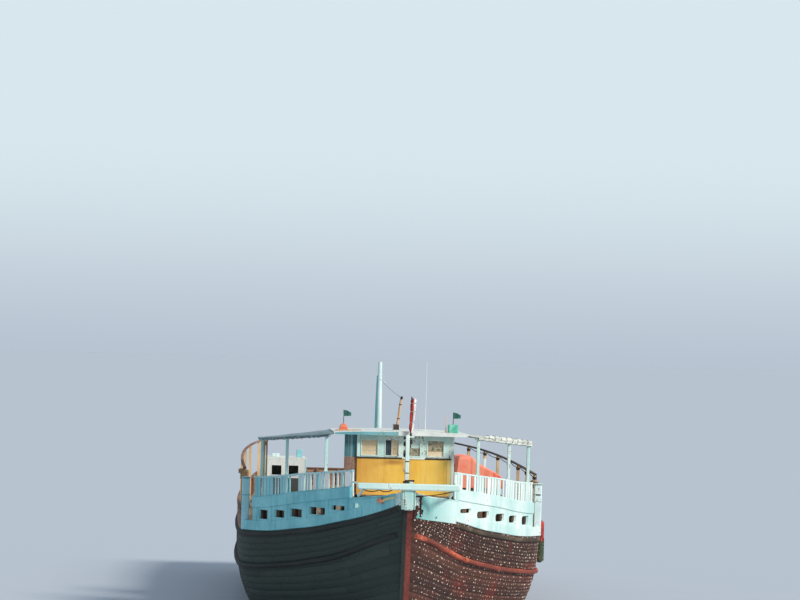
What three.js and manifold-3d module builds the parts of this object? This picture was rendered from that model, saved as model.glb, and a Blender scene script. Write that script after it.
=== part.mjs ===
// A wooden motor dhow, built as separate timbers, walls and fittings.
// Millimetres. +X runs to the bow, +Y to port and +Z up. The origin is on the waterline amidships.
import * as THREE from "three";
import { mergeVertices } from "three/addons/utils/BufferGeometryUtils.js";
import Module from "manifold-3d";

const wasm = await Module();
wasm.setup();

// Driving dimensions. A distance called t runs aft from the stem head, so that x = BOW - t.
const BOW = 15000;
const GAP = 0.3; // between two timbers that lie face to face
const SIDES = [
  ["port", 1],
  ["starboard", -1],
];

// Hull
const STATIONS = [
  250, 500, 750, 1000, 1500, 2000, 2500, 3000, 3500, 4000, 4500, 5000, 6000, 7000, 8000, 9000,
  10000, 11000, 13000, 15000, 17000, 19000, 21000, 23000, 24500, 26000, 27500, 29000, 30000,
];
const STERN = 30000; // t of the transom
const SECTION_ROWS = 11; // heights in one hull section
const KEEL_HALF = 150; // half the siding of stem, keel and sternpost
const PLANK = 80; // thickness of bulwarks and walls

// Foredeck and what stands on it
const FOREDECK = { start: 2300, end: 7600, front: 4456, back: 4001, thick: 100 };
const HOUSE = { start: 4550, end: 7300, low: -1450, high: 1700, wall: 60, top: 6350 };
const WINDOW = { bottom: 5640, top: 6220 };
const DOOR = { start: 5620, end: 6270, bottom: 4290, top: 6150, leaf: 40, stand: 6 };
const BARREL = { radius: 18, out: 30, lug: 50, tall: 60, half: 20, play: 0.4 };
const ROOF = { start: 4220, end: 8300, half: 2250, crown: 6500, edge: 6440 };

// Gear on deck
const DECK = 2850; // level of the flat stretch of the main deck
const HATCH = { start: 11000, end: 14800, half: 1500, wall: 80, top: 3500, lid: 90 };
const GALLEY = { start: 11200, end: 13200, low: -4400, high: -2900, wall: 60, top: 5300 };
const LOCKER = { start: 12900, end: 14900, low: 2700, high: 4100, top: 4750 };
const MAST = { t: 17500, foot: 150, head: 75, top: 8760, step: 200, stepRise: 300 };

// Screw and rudder
const SHAFT = { z: -1400, radius: 60, tube: 27300 };
const SCREW = { t: 27950, radius: 700, hub: 130, length: 260, blades: 4 };
const POST = { start: 28600, end: 28860 };
const RUDDER = { axis: 28960, end: 29950, half: 70, stock: 40, bottom: -2100, top: 20 };
const GUDGEONS = [-1900, -300]; // heights of the rudder's two hangers
const KEEL_BOTTOM = -2400;
const SHOE_TOP = -2180;

const vec = (t, y, z) => new THREE.Vector3(BOW - t, y, z);

// A smooth curve through a short table of [t, value] rows. It is straight between stations, so that
// every timber laid along it meets its neighbour face to face.
function line(rows) {
  const slope = (i) => {
    const a = rows[Math.max(0, i - 1)];
    const b = rows[Math.min(rows.length - 1, i + 1)];
    return (b[1] - a[1]) / (b[0] - a[0]);
  };
  const smooth = (t) => {
    const i = Math.max(0, Math.min(rows.length - 2, rows.findIndex((row) => row[0] >= t) - 1));
    const span = rows[i + 1][0] - rows[i][0];
    const u = (t - rows[i][0]) / span;
    const rise = rows[i + 1][1] - rows[i][1];
    const bend = slope(i) * span - rise;
    const unbend = rise - slope(i + 1) * span;
    return rows[i][1] + u * rise + u * (1 - u) * ((1 - u) * bend + u * unbend);
  };
  const samples = STATIONS.map(smooth);
  return (t) => {
    let i = STATIONS.findIndex((station) => station >= t) - 1;
    i = Math.max(0, Math.min(STATIONS.length - 2, i));
    const u = (t - STATIONS[i]) / (STATIONS[i + 1] - STATIONS[i]);
    return samples[i] + u * (samples[i + 1] - samples[i]);
  };
}

// [t, height or half-breadth]
const sheer = line([
  [250, 4240], [1000, 3970], [2000, 3700], [3000, 3500], [4000, 3290], [5000, 3150], [6500, 2970],
  [8000, 2900], [10000, 2865], [11000, DECK], [13000, DECK], [15000, DECK], [19000, 2920],
  [22500, 3080], [25500, 3280], [27500, 3450], [30000, 3600],
]);
const breadth = line([
  [250, 300], [1000, 880], [2000, 1550], [3000, 2150], [4000, 2800], [5000, 3420], [6000, 3970],
  [7000, 4540], [8000, 4970], [9000, 5180], [10000, 5230], [11000, 5240], [14000, 5250],
  [18000, 5190], [22000, 5000], [26000, 4600], [30000, 3900],
]);
const rabbet = line([
  [250, 4080], [590, 3000], [870, 2000], [1100, 1200], [1600, 0], [2400, -1000], [3450, -1600],
  [4900, -2000], [7000, -2200], [15000, -2200], [22500, -2200], [24500, -2050], [26000, -1650],
  [27500, -800], [29000, 100], [30000, 500],
]);
// [t, fullness of the bottom, roundness of the bilge]
const fullness = line([
  [250, 1], [2000, 1.05], [4500, 1.4], [8000, 2.3], [12000, 3], [20000, 3], [26000, 2.2], [30000, 1.9],
]);
const roundness = line([
  [250, 1.02], [2000, 1.08], [4500, 1.25], [8000, 1.5], [12000, 1.6], [24000, 1.6], [30000, 1.5],
]);
const bowCap = line([
  [250, 4620], [700, 4480], [1600, 4380], [2250, 4310], [30000, 4290],
]);
const fasciaLow = line([[250, 4600], [2250, 4350], [4570, 4050], [7600, 3700], [30000, 3600]]);
const fasciaTop = line([[250, 4950], [2250, 4690], [4570, 4405], [7600, 4070], [30000, 3970]]);
const railTop = line([[250, 5480], [2250, 5260], [4570, 5030], [7600, 4770], [30000, 4700]]);
const waleHeight = line([
  [250, 3450], [1400, 3050], [2600, 2650], [3600, 2360], [4700, 2140], [5500, 2000], [7700, 1760],
  [11000, 1700], [15000, 1700], [19000, 1770], [22500, 1930], [25500, 2130], [27500, 2300],
  [30000, 2450],
]);
const postTop = line([[250, 5000], [10000, 5000], [28000, 5450], [30000, 5500]]);

const deckTop = (t) =>
  FOREDECK.front +
  ((FOREDECK.back - FOREDECK.front) * (t - FOREDECK.start)) / (FOREDECK.end - FOREDECK.start);

// The hull's half-breadth at a height between rabbet and sheer
function hullHalf(t, z) {
  const v = Math.min(1, Math.max(0, (z - rabbet(t)) / (sheer(t) - rabbet(t))));
  const full = (1 - (1 - v) ** fullness(t)) ** (1 / roundness(t));
  return KEEL_HALF + (breadth(t) - KEEL_HALF) * full;
}

// The stations from one t to another, both ends included
const run = (start, end) => [start, ...STATIONS.filter((t) => t > start && t < end), end];

// Turns a closed geometry's faces outwards where they point in.
function outward(geometry) {
  const p = geometry.getAttribute("position");
  const [a, b, c] = [new THREE.Vector3(), new THREE.Vector3(), new THREE.Vector3()];
  const index = geometry.index.array;
  let volume = 0;
  for (let i = 0; i < index.length; i += 3) {
    a.fromBufferAttribute(p, index[i]);
    b.fromBufferAttribute(p, index[i + 1]);
    c.fromBufferAttribute(p, index[i + 2]);
    volume += a.dot(b.cross(c));
  }
  if (volume < 0)
    for (let i = 0; i < index.length; i += 3) [index[i], index[i + 1]] = [index[i + 1], index[i]];
  return geometry;
}

// A closed body through rings with equal numbers of points
function loft(rings) {
  const count = rings[0].length;
  const last = (rings.length - 1) * count;
  const index = [];
  for (let i = 0; i < last; i += count)
    for (let j = 0; j < count; j++) {
      const k = (j + 1) % count;
      index.push(i + j, i + k, i + count + k, i + j, i + count + k, i + count + j);
    }
  for (let j = 1; j + 1 < count; j++) index.push(0, j + 1, j, last, last + j, last + j + 1);
  const geometry = new THREE.BufferGeometry().setFromPoints(rings.flat());
  geometry.setIndex(index);
  return outward(geometry);
}

// A plank laid along one side of the ship
const strip = (side, start, end, outer, inner, low, top) =>
  loft(
    run(start, end).map((t) => [
      vec(t, side * outer(t), low(t)),
      vec(t, side * outer(t), top(t)),
      vec(t, side * inner(t), top(t)),
      vec(t, side * inner(t), low(t)),
    ]),
  );

// A plate from side to side of the ship
const slab = (start, end, half, low, top) => strip(1, start, end, half, (t) => -half(t), low, top);

// A straight-sided box between two corners given as (t, y, z)
function box(t0, t1, y0, y1, z0, z1) {
  const geometry = new THREE.BoxGeometry(Math.abs(t1 - t0), Math.abs(y1 - y0), Math.abs(z1 - z0));
  return geometry.translate(BOW - (t0 + t1) / 2, (y0 + y1) / 2, (z0 + z1) / 2);
}

// An outline in (t, z), extruded across the ship
function profile(points, y0, y1) {
  const shape = new THREE.Shape(points.map(([t, z]) => new THREE.Vector2(BOW - t, z)));
  const geometry = new THREE.ExtrudeGeometry(shape, { depth: y1 - y0, bevelEnabled: false });
  return geometry.rotateX(Math.PI / 2).translate(0, y1, 0);
}

// An outline in (y, z), extruded from t0 aft to t1
function crosswise(points, t0, t1) {
  const shape = new THREE.Shape(points.map(([y, z]) => new THREE.Vector2(y, z)));
  const geometry = new THREE.ExtrudeGeometry(shape, { depth: t1 - t0, bevelEnabled: false });
  const turn = new THREE.Matrix4().makeBasis(
    new THREE.Vector3(0, 1, 0),
    new THREE.Vector3(0, 0, 1),
    new THREE.Vector3(1, 0, 0),
  );
  return geometry.applyMatrix4(turn).translate(BOW - t1, 0, 0);
}

// A round bar from one point to another
function bar(from, to, radius, end = radius, sides = 16) {
  const length = from.distanceTo(to);
  const geometry = new THREE.CylinderGeometry(end, radius, length, sides).translate(0, length / 2, 0);
  const turn = new THREE.Quaternion().setFromUnitVectors(
    new THREE.Vector3(0, 1, 0),
    to.clone().sub(from).normalize(),
  );
  return geometry.applyQuaternion(turn).translate(from.x, from.y, from.z);
}

// A square beam from one point to another, its sides upright
function beam(from, to, width, height) {
  const along = to.clone().sub(from);
  const aside = new THREE.Vector3(-along.y, along.x, 0).normalize().multiplyScalar(width / 2);
  const up = new THREE.Vector3(0, 0, height / 2);
  return loft(
    [from, to].map((p) => [
      p.clone().add(aside).add(up),
      p.clone().sub(aside).add(up),
      p.clone().sub(aside).sub(up),
      p.clone().add(aside).sub(up),
    ]),
  );
}

function solid(geometry) {
  const bare = geometry.index ? geometry.toNonIndexed() : geometry.clone();
  bare.deleteAttribute("normal");
  bare.deleteAttribute("uv");
  const merged = mergeVertices(bare, 1e-3);
  return new wasm.Manifold(
    new wasm.Mesh({
      numProp: 3,
      vertProperties: new Float32Array(merged.getAttribute("position").array),
      triVerts: new Uint32Array(merged.index.array),
    }),
  );
}

function geometryOf(made) {
  const mesh = made.getMesh();
  return new THREE.BufferGeometry()
    .setAttribute("position", new THREE.BufferAttribute(new Float32Array(mesh.vertProperties), 3))
    .setIndex(new THREE.BufferAttribute(new Uint32Array(mesh.triVerts), 1));
}

const join = (first, ...rest) =>
  geometryOf(rest.reduce((made, piece) => made.add(solid(piece)), solid(first)));
const cut = (first, ...rest) =>
  geometryOf(rest.reduce((made, piece) => made.subtract(solid(piece)), solid(first)));

const PAINTS = {
  oiled_hull: [0x6d2f25, 0.7],
  stem_timber: [0x7a3328, 0.7],
  wale_red: [0xa0472f, 0.7],
  turquoise: [0x6fb7bf, 0.6],
  white: [0xe6e8e2, 0.6],
  yellow: [0xd9962c, 0.6],
  bulwark_brown: [0x6b4a33, 0.8],
  pale_timber: [0xc2a27a, 0.8],
  deck_timber: [0x9a8a74, 0.9],
  canvas: [0xd9dedb, 0.95],
  tarpaulin_red: [0xd6452f, 0.8],
  iron: [0x2c2d2f, 0.6],
  bronze: [0x9a7a3c, 0.4],
  fender_red: [0xb2452c, 0.9],
  flag_red: [0xb8302c, 0.9],
};
const ship = new THREE.Group();

function piece(name, geometry, paint) {
  const [color, roughness] = PAINTS[paint];
  const metalness = paint === "bronze" ? 1 : 0;
  const bare = geometry.index ? geometry.toNonIndexed() : geometry;
  bare.computeVertexNormals();
  const mesh = new THREE.Mesh(bare, new THREE.MeshStandardMaterial({ color, roughness, metalness }));
  mesh.name = name;
  ship.add(mesh);
}

// Hull: planked bottom, sides and main deck
const hull = loft(
  STATIONS.map((t) => {
    const half = Array.from({ length: SECTION_ROWS + 1 }, (_, i) => {
      const z = rabbet(t) + (sheer(t) - rabbet(t)) * (i / SECTION_ROWS) ** 1.4;
      return [hullHalf(t, z), z];
    });
    return [
      ...half.map(([y, z]) => vec(t, y, z)),
      ...half.reverse().map(([y, z]) => vec(t, -y, z)),
    ];
  }),
);
piece("hull", hull, "oiled_hull");

// Stem, keel with its shoe, and sternpost. Their upper edge is the rabbet that the hull ends on.
const KEEL_START = 6500;
const rabbetEdge = (start, end) => run(start, end).map((t) => [t - GAP, rabbet(t) - GAP]);
const STEM_FRONT = [
  [160, 4080], [900, 1200], [1350, 0], [1700, -580], [2100, -1050], [2600, -1450], [3100, -1750],
  [4500, -2200], [5500, -2330], [KEEL_START, KEEL_BOTTOM],
];
piece(
  "stem",
  profile([...STEM_FRONT, ...rabbetEdge(250, KEEL_START).reverse()], -KEEL_HALF, KEEL_HALF),
  "stem_timber",
);
piece(
  "keel",
  profile(
    [
      [KEEL_START + GAP, KEEL_BOTTOM],
      [POST.end, KEEL_BOTTOM],
      [POST.end, SHOE_TOP],
      [SHAFT.tube, SHOE_TOP],
      ...rabbetEdge(KEEL_START + 2 * GAP, SHAFT.tube + GAP).reverse(),
    ],
    -KEEL_HALF,
    KEEL_HALF,
  ),
  "stem_timber",
);
const postBody = profile(
  [
    [POST.start, SHOE_TOP + GAP],
    [POST.end, SHOE_TOP + GAP],
    [POST.end, rabbet(POST.end) - GAP],
    [POST.start, rabbet(POST.start) - GAP],
  ],
  -KEEL_HALF,
  KEEL_HALF,
);
const GUDGEON = { radius: 80, bore: 40.9, half: 50, arm: 45 };
const gudgeons = GUDGEONS.flatMap((z) => [
  bar(vec(RUDDER.axis, 0, z - GUDGEON.half), vec(RUDDER.axis, 0, z + GUDGEON.half), GUDGEON.radius),
  box(POST.start + GUDGEON.arm, RUDDER.axis, -GUDGEON.arm, GUDGEON.arm, z - GUDGEON.half, z + GUDGEON.half),
]);
const rudderBore = bar(
  vec(RUDDER.axis, 0, SHOE_TOP),
  vec(RUDDER.axis, 0, 0),
  GUDGEON.bore,
  GUDGEON.bore,
  24,
);
piece("sternpost", cut(join(postBody, ...gudgeons), rudderBore), "stem_timber");

// Rudder: a blade on a round stock, notched where the gudgeons hold it
const NOTCH = { half: GUDGEON.half + GAP, deep: 100 };
const blade = box(RUDDER.axis, RUDDER.end, -RUDDER.half, RUDDER.half, RUDDER.bottom, RUDDER.top);
const notches = GUDGEONS.map((z) =>
  box(RUDDER.axis - 10, RUDDER.axis + NOTCH.deep, -90, 90, z - NOTCH.half, z + NOTCH.half),
);
const stock = bar(
  vec(RUDDER.axis, 0, RUDDER.bottom),
  vec(RUDDER.axis, 0, RUDDER.top),
  RUDDER.stock,
  RUDDER.stock,
  24,
);
piece("rudder", join(cut(blade, ...notches), stock), "stem_timber");

// Screw, its shaft and the stern tube
const tubeEnd = SHAFT.tube + 150;
const tube = bar(vec(SHAFT.tube + GAP, 0, SHAFT.z), vec(tubeEnd, 0, SHAFT.z), 140, 120, 24);
const TUBE_BORE = 60.9;
const tubeBore = bar(
  vec(SHAFT.tube - 10, 0, SHAFT.z),
  vec(tubeEnd + 10, 0, SHAFT.z),
  TUBE_BORE,
  TUBE_BORE,
  24,
);
piece("stern_tube", cut(tube, tubeBore), "bronze");
const hubStart = SCREW.t - SCREW.length / 2;
piece(
  "propeller_shaft",
  bar(vec(SHAFT.tube + 5, 0, SHAFT.z), vec(hubStart - GAP, 0, SHAFT.z), SHAFT.radius, SHAFT.radius, 24),
  "bronze",
);
// [share of the radius, chord, thickness, pitch angle in degrees]
const BLADE = [
  [0.12, 180, 60, 62], [0.35, 300, 40, 48], [0.6, 380, 28, 36], [0.85, 330, 18, 28], [1, 130, 10, 24],
];
const screwBlade = (angle) =>
  loft(
    BLADE.map(([share, chord, thick, pitch]) => {
      const lean = THREE.MathUtils.degToRad(pitch);
      const ring = [[-0.5, 0], [-0.2, 0.5], [0.25, 0.5], [0.5, 0], [0.25, -0.5], [-0.2, -0.5]];
      return ring.map(([c, h]) => {
        const [u, w] = [c * chord, h * thick];
        return new THREE.Vector3(
          u * Math.sin(lean) + w * Math.cos(lean),
          u * Math.cos(lean) - w * Math.sin(lean),
          share * SCREW.radius,
        )
          .applyAxisAngle(new THREE.Vector3(1, 0, 0), angle)
          .add(vec(SCREW.t, 0, SHAFT.z));
      });
    }),
  );
const blades = Array.from({ length: SCREW.blades }, (_, i) =>
  screwBlade((2 * Math.PI * i) / SCREW.blades),
);
const hub = bar(
  vec(hubStart, 0, SHAFT.z),
  vec(SCREW.t + SCREW.length / 2, 0, SHAFT.z),
  SCREW.hub,
  SCREW.hub * 0.7,
  24,
);
piece("propeller", join(hub, ...blades), "bronze");

// Bulwarks, walls and rubbing strakes along both sides
const WALE = { out: 120, height: 160, start: 620 };
const RUB = { out: 70, low: 210, top: 50, start: 500 };
const SEAT = 0.4; // the strakes are cut to the hull moved out by this much
const PORTS = [
  // [t of the middle, length, bottom, top]
  [2900, 730, 3890, 4040], [3950, 770, 3680, 3920], [5030, 660, 3530, 3800],
  [5970, 580, 3450, 3700], [6900, 560, 3340, 3650],
];
const BOW_PORT = [2030, 340, 4020, 4170]; // a sixth one, to starboard only
const BULWARK = { start: 450, end: 2250, step: 350 };
const WAIST = { rise: 700 };
const bitt = { start: 8300, end: 8560, low: 4930, high: 5190, top: 4700 };
const WAIST_START = bitt.end + GAP;
const edgeOuter = (t) => breadth(t);
const edgeInner = (t) => breadth(t) - PLANK;
const aboveSheer = (t) => sheer(t) + GAP;
const FASCIA = { out: 40, inner: 60 };
const fasciaInner = (t) => breadth(t) - FASCIA.inner;
const fasciaOuter = (t) => breadth(t) + FASCIA.out;
const RAIL = { inset: 10, wide: 90, thick: 60, foot: 40 };
const railOuter = (t) => breadth(t) - RAIL.inset;
const railInner = (t) => breadth(t) - RAIL.inset - RAIL.wide;
const SLAT = { pitch: 220, wide: 120, thick: 35, inset: 25 };
const STANCHION = { wide: 100, rail: 60, pitch: 2900, first: 9900, overhang: 300 };
const stanchionOuter = (t) => edgeInner(t) - GAP;
const stanchionInner = (t) => stanchionOuter(t) - STANCHION.wide;

// A small upright box turned to lie along the ship's side
function upright(side, t, along, outer, inner, low, top) {
  const rings = [t - along / 2, t + along / 2].map((s) => [
    vec(s, side * outer(s), low),
    vec(s, side * outer(s), top),
    vec(s, side * inner(s), top),
    vec(s, side * inner(s), low),
  ]);
  return loft(rings);
}

for (const [name, side] of SIDES) {
  const hullOut = hull.clone().translate(0, side * SEAT, 0);
  const along = (start, out, inside, low, top) =>
    cut(
      strip(
        side,
        start,
        STERN,
        (t) => hullHalf(t, (low(t) + top(t)) / 2) + out,
        (t) => hullHalf(t, low(t)) - inside,
        low,
        top,
      ),
      hullOut,
    );
  piece(
    "wale_" + name,
    along(WALE.start, WALE.out, 200, (t) => waleHeight(t) - WALE.height, waleHeight),
    "wale_red",
  );
  piece(
    "rub_rail_" + name,
    along(RUB.start, RUB.out, 200, (t) => sheer(t) - RUB.low, (t) => sheer(t) - RUB.top),
    "bulwark_brown",
  );
  const port = ([t, length, low, top]) =>
    upright(side, t, length, (s) => breadth(s) + 100, (s) => breadth(s) - 200, low, top);
  const bulwark = strip(
    side, BULWARK.start, BULWARK.end, edgeOuter, edgeInner, aboveSheer, bowCap,
  );
  piece("bow_bulwark_" + name, side > 0 ? bulwark : cut(bulwark, port(BOW_PORT)), "turquoise");
  // The wall under the foredeck, and the low plank that carries on from its foot to the bitt
  const wallStart = BULWARK.end + GAP;
  const wall = strip(
    side, wallStart, FOREDECK.end, edgeOuter, edgeInner, aboveSheer, (t) => fasciaLow(t) - GAP,
  );
  const footPlank = strip(
    side, wallStart, bitt.start - GAP, edgeOuter, edgeInner, aboveSheer, (t) => sheer(t) + BULWARK.step,
  );
  piece("side_wall_" + name, cut(join(wall, footPlank), ...PORTS.map(port)), "turquoise");
  piece(
    "fascia_" + name,
    strip(side, FOREDECK.start, FOREDECK.end, fasciaOuter, fasciaInner, fasciaLow, fasciaTop),
    "turquoise",
  );
  const slatCount = Math.floor((FOREDECK.end - FOREDECK.start - SLAT.wide) / SLAT.pitch);
  const slats = Array.from({ length: slatCount + 1 }, (_, i) => {
    const t = FOREDECK.start + SLAT.wide / 2 + 1 + i * SLAT.pitch;
    return upright(
      side,
      t,
      SLAT.wide,
      (s) => railOuter(s) - SLAT.inset,
      (s) => railOuter(s) - SLAT.inset - SLAT.thick,
      fasciaTop(t) + RAIL.foot / 2,
      railTop(t) - RAIL.thick / 2,
    );
  });
  const footRail = strip(
    side, FOREDECK.start, FOREDECK.end, railOuter, railInner,
    (t) => fasciaTop(t) + GAP, (t) => fasciaTop(t) + RAIL.foot,
  );
  const topRail = strip(
    side, FOREDECK.start, FOREDECK.end, railOuter, railInner,
    (t) => railTop(t) - RAIL.thick, railTop,
  );
  piece("balustrade_" + name, join(topRail, footRail, ...slats), "turquoise");
  piece(
    "side_bitt_" + name,
    box(bitt.start, bitt.end, side * bitt.low, side * bitt.high, sheer(bitt.start) + GAP, bitt.top),
    "turquoise",
  );
  piece(
    "waist_bulwark_" + name,
    strip(side, WAIST_START, STERN, edgeOuter, edgeInner, aboveSheer, (t) => sheer(t) + WAIST.rise),
    "bulwark_brown",
  );
  const postCount = Math.floor((STERN - 500 - STANCHION.first) / STANCHION.pitch);
  const posts = Array.from({ length: postCount + 1 }, (_, i) => {
    const t = STANCHION.first + i * STANCHION.pitch;
    const foot = Math.max(sheer(t - STANCHION.wide), sheer(t + STANCHION.wide)) + GAP;
    return upright(side, t, STANCHION.wide, stanchionOuter, stanchionInner, foot, postTop(t) - 20);
  });
  const handRail = strip(
    side, STANCHION.first - STANCHION.overhang, STERN - 200, stanchionOuter, stanchionInner,
    (t) => postTop(t) - STANCHION.rail, postTop,
  );
  piece("stanchion_rail_" + name, join(handRail, ...posts), "pale_timber");
}
piece(
  "stern_bulwark",
  slab(STERN - PLANK, STERN, (t) => edgeInner(t) - GAP, aboveSheer, (t) => sheer(t) + WAIST.rise),
  "bulwark_brown",
);

// Foredeck, with the bulkhead under its front edge
piece(
  "foredeck",
  slab(
    FOREDECK.start, FOREDECK.end, (t) => fasciaInner(t) - GAP,
    (t) => deckTop(t) - FOREDECK.thick, deckTop,
  ),
  "deck_timber",
);
piece(
  "foredeck_bulkhead",
  slab(
    FOREDECK.start, FOREDECK.start + PLANK, (t) => edgeInner(t) - GAP, aboveSheer,
    (t) => deckTop(t) - FOREDECK.thick - GAP,
  ),
  "turquoise",
);

// Stem head, cross beam and jackstaff
const LET_IN = 20; // how far joined members reach into each other
const HEAD = { half: 225, end: 240, low: 4080 + GAP, top: 4720 };
const CROSS = { half: 1650, start: -90, end: 110, low: HEAD.top + GAP, top: 4930 };
const STAFF = { start: 0, end: 100, half: 60, foot: 5040, top: 6480, peg: 140, pegDrop: 60, pegRadius: 25 };
const BLOCK = { start: -50, end: 100, half: 130 }; // under the jackstaff
const staffMiddle = (STAFF.start + STAFF.end + 20) / 2;
const pegZ = STAFF.top - STAFF.pegDrop;
piece("stem_head", box(0, HEAD.end, -HEAD.half, HEAD.half, HEAD.low, HEAD.top), "turquoise");
piece("cross_beam", box(CROSS.start, CROSS.end, -CROSS.half, CROSS.half, CROSS.low, CROSS.top), "turquoise");
piece(
  "jackstaff",
  join(
    box(BLOCK.start, BLOCK.end, -BLOCK.half, BLOCK.half, CROSS.top + GAP, STAFF.foot),
    box(STAFF.start, STAFF.end, -STAFF.half, STAFF.half, STAFF.foot - LET_IN, STAFF.top),
    bar(vec(staffMiddle, -STAFF.peg, pegZ), vec(staffMiddle, STAFF.peg, pegZ), STAFF.pegRadius),
  ),
  "turquoise",
);

// Wheelhouse walls, with windows and doorways cut
const floorAt = (t) => deckTop(t) + GAP;
const BEYOND = 100; // how far an opening's cutter reaches beyond the wall
const AFT_WINDOW = { low: -700, high: 950, bottom: WINDOW.bottom - 100 };
const FRONT_WINDOWS = [[-1330, -740], [-540, -40], [160, 680], [880, 1470]];
const crossWall = (t, openings, bottom) =>
  cut(
    crosswise(
      [[HOUSE.low, floorAt(t)], [HOUSE.high, floorAt(t)], [HOUSE.high, HOUSE.top], [HOUSE.low, HOUSE.top]],
      t,
      t + HOUSE.wall,
    ),
    ...openings.map(([y0, y1]) =>
      box(t - BEYOND, t + HOUSE.wall + BEYOND, y0, y1, bottom, WINDOW.top),
    ),
  );
const aftStart = HOUSE.end - HOUSE.wall;
piece("wheelhouse_front", crossWall(HOUSE.start, FRONT_WINDOWS, WINDOW.bottom), "yellow");
piece(
  "wheelhouse_aft_wall",
  crossWall(aftStart, [[AFT_WINDOW.low, AFT_WINDOW.high]], AFT_WINDOW.bottom),
  "turquoise",
);

const LEAF = { low: DOOR.bottom - 30, top: DOOR.top + 20, start: DOOR.start - 35, end: DOOR.end + 30 };
const PANE = { inset: 110, bottom: 5560 }; // opening in a door's upper part
const STRAP = { half: 8, inset: 10, reach: 20 }; // joins a leaf to its barrel
const SINK = 5; // how far a lug is let into what carries it
const hingeT = LEAF.start - 25;
const hingeLug = (t, y, out, low) =>
  box(t - BARREL.half, t + BARREL.half, y - out * SINK, y + out * BARREL.lug, low, low + BARREL.tall);
const lugHeights = (leaf) => [leaf.low - BARREL.play - BARREL.tall, leaf.top + BARREL.play];
const SIDE_WINDOWS = [[4780, 5380], [6480, 7080]]; // [start, end] along t
const SCREEN = { reach: 420, thick: 40 }; // a board wing outside the starboard front corner
for (const [name, side] of SIDES) {
  const outerY = side > 0 ? HOUSE.high : HOUSE.low;
  const innerY = outerY - side * HOUSE.wall;
  const [y0, y1] = [Math.min(outerY, innerY), Math.max(outerY, innerY)];
  const [start, end] = [HOUSE.start + HOUSE.wall + GAP, aftStart - GAP];
  const wall = profile(
    [[start, floorAt(start)], [end, floorAt(end)], [end, HOUSE.top], [start, HOUSE.top]],
    y0,
    y1,
  );
  const openings = [
    box(DOOR.start, DOOR.end, y0 - BEYOND, y1 + BEYOND, DOOR.bottom, DOOR.top),
    ...SIDE_WINDOWS.map(([a, b]) => box(a, b, y0 - BEYOND, y1 + BEYOND, WINDOW.bottom, WINDOW.top)),
  ];
  const fixed = lugHeights(LEAF).map((low) => hingeLug(hingeT, outerY, side, low));
  if (side < 0)
    fixed.push(
      box(start, start + SCREEN.thick, outerY - SCREEN.reach, outerY + SINK, floorAt(start), HOUSE.top),
    );
  piece("wheelhouse_wall_" + name, cut(join(wall, ...fixed), ...openings), "turquoise");

  const near = outerY + side * DOOR.stand;
  const axisY = outerY + side * BARREL.out;
  const leaf = cut(
    box(LEAF.start, LEAF.end, near, near + side * DOOR.leaf, LEAF.low, LEAF.top),
    box(
      LEAF.start + PANE.inset, LEAF.end - PANE.inset, outerY, outerY + side * BEYOND,
      PANE.bottom, LEAF.top - PANE.inset,
    ),
  );
  const strap = box(
    hingeT, LEAF.start + STRAP.reach, axisY - STRAP.half, axisY + STRAP.half,
    LEAF.low + STRAP.inset, LEAF.top - STRAP.inset,
  );
  const barrel = bar(
    vec(hingeT, axisY, LEAF.low), vec(hingeT, axisY, LEAF.top), BARREL.radius, BARREL.radius, 12,
  );
  piece("wheelhouse_door_" + name, join(leaf, strap, barrel), "turquoise");
}

// Helm: a console with its wheel, just behind the front windows
const HELM = { start: 4900, end: 5300, low: -350, high: 550, top: 5250 };
const WHEEL = { radius: 300, rim: 22, spoke: 14, axle: 30, out: 160, rise: 60 };
const PEDESTAL = { half: 100, rise: 160 };
const helmY = (HELM.low + HELM.high) / 2;
const helmHub = vec(HELM.end + WHEEL.out, helmY, HELM.top + WHEEL.rise);
const rim = new THREE.TorusGeometry(WHEEL.radius, WHEEL.rim, 8, 24)
  .rotateY(Math.PI / 2)
  .translate(helmHub.x, helmHub.y, helmHub.z);
const spokes = [0, 1, 2].map((i) => {
  const reach = new THREE.Vector3(0, WHEEL.radius, 0).applyAxisAngle(
    new THREE.Vector3(1, 0, 0),
    (i * Math.PI) / 3,
  );
  return bar(helmHub.clone().sub(reach), helmHub.clone().add(reach), WHEEL.spoke, WHEEL.spoke, 8);
});
piece(
  "helm",
  join(
    box(HELM.start, HELM.end, HELM.low, HELM.high, deckTop(HELM.start) + GAP, HELM.top),
    box(
      HELM.end - PEDESTAL.half, HELM.end, helmY - PEDESTAL.half, helmY + PEDESTAL.half,
      HELM.top - LET_IN, HELM.top + PEDESTAL.rise,
    ),
    bar(
      vec(HELM.end - LET_IN, helmY, helmHub.z), vec(HELM.end + WHEEL.out + LET_IN, helmY, helmHub.z),
      WHEEL.axle, WHEEL.axle, 12,
    ),
    rim,
    ...spokes,
  ),
  "pale_timber",
);

// Wheelhouse roof, level below and crowned on top
const ROOF_ROWS = 8;
const roofRing = (t) => {
  const upper = Array.from({ length: ROOF_ROWS + 1 }, (_, i) => {
    const share = (2 * i) / ROOF_ROWS - 1;
    return vec(t, share * ROOF.half, ROOF.crown - (ROOF.crown - ROOF.edge) * share * share);
  });
  return [...upper, vec(t, ROOF.half, HOUSE.top + GAP), vec(t, -ROOF.half, HOUSE.top + GAP)];
};
piece("wheelhouse_roof", loft([ROOF.start, ROOF.end].map(roofRing)), "white");

// Awnings at both sides of the roof, on beams and posts that stand on the balustrade
const AWNING = { inner: ROOF.half + 5, drop: 0.13, thick: 40, beam: 80, end: 8300 };
const awningLow = (y) => ROOF.edge - AWNING.thick - 10 - (Math.abs(y) - ROOF.half) * AWNING.drop;
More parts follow.
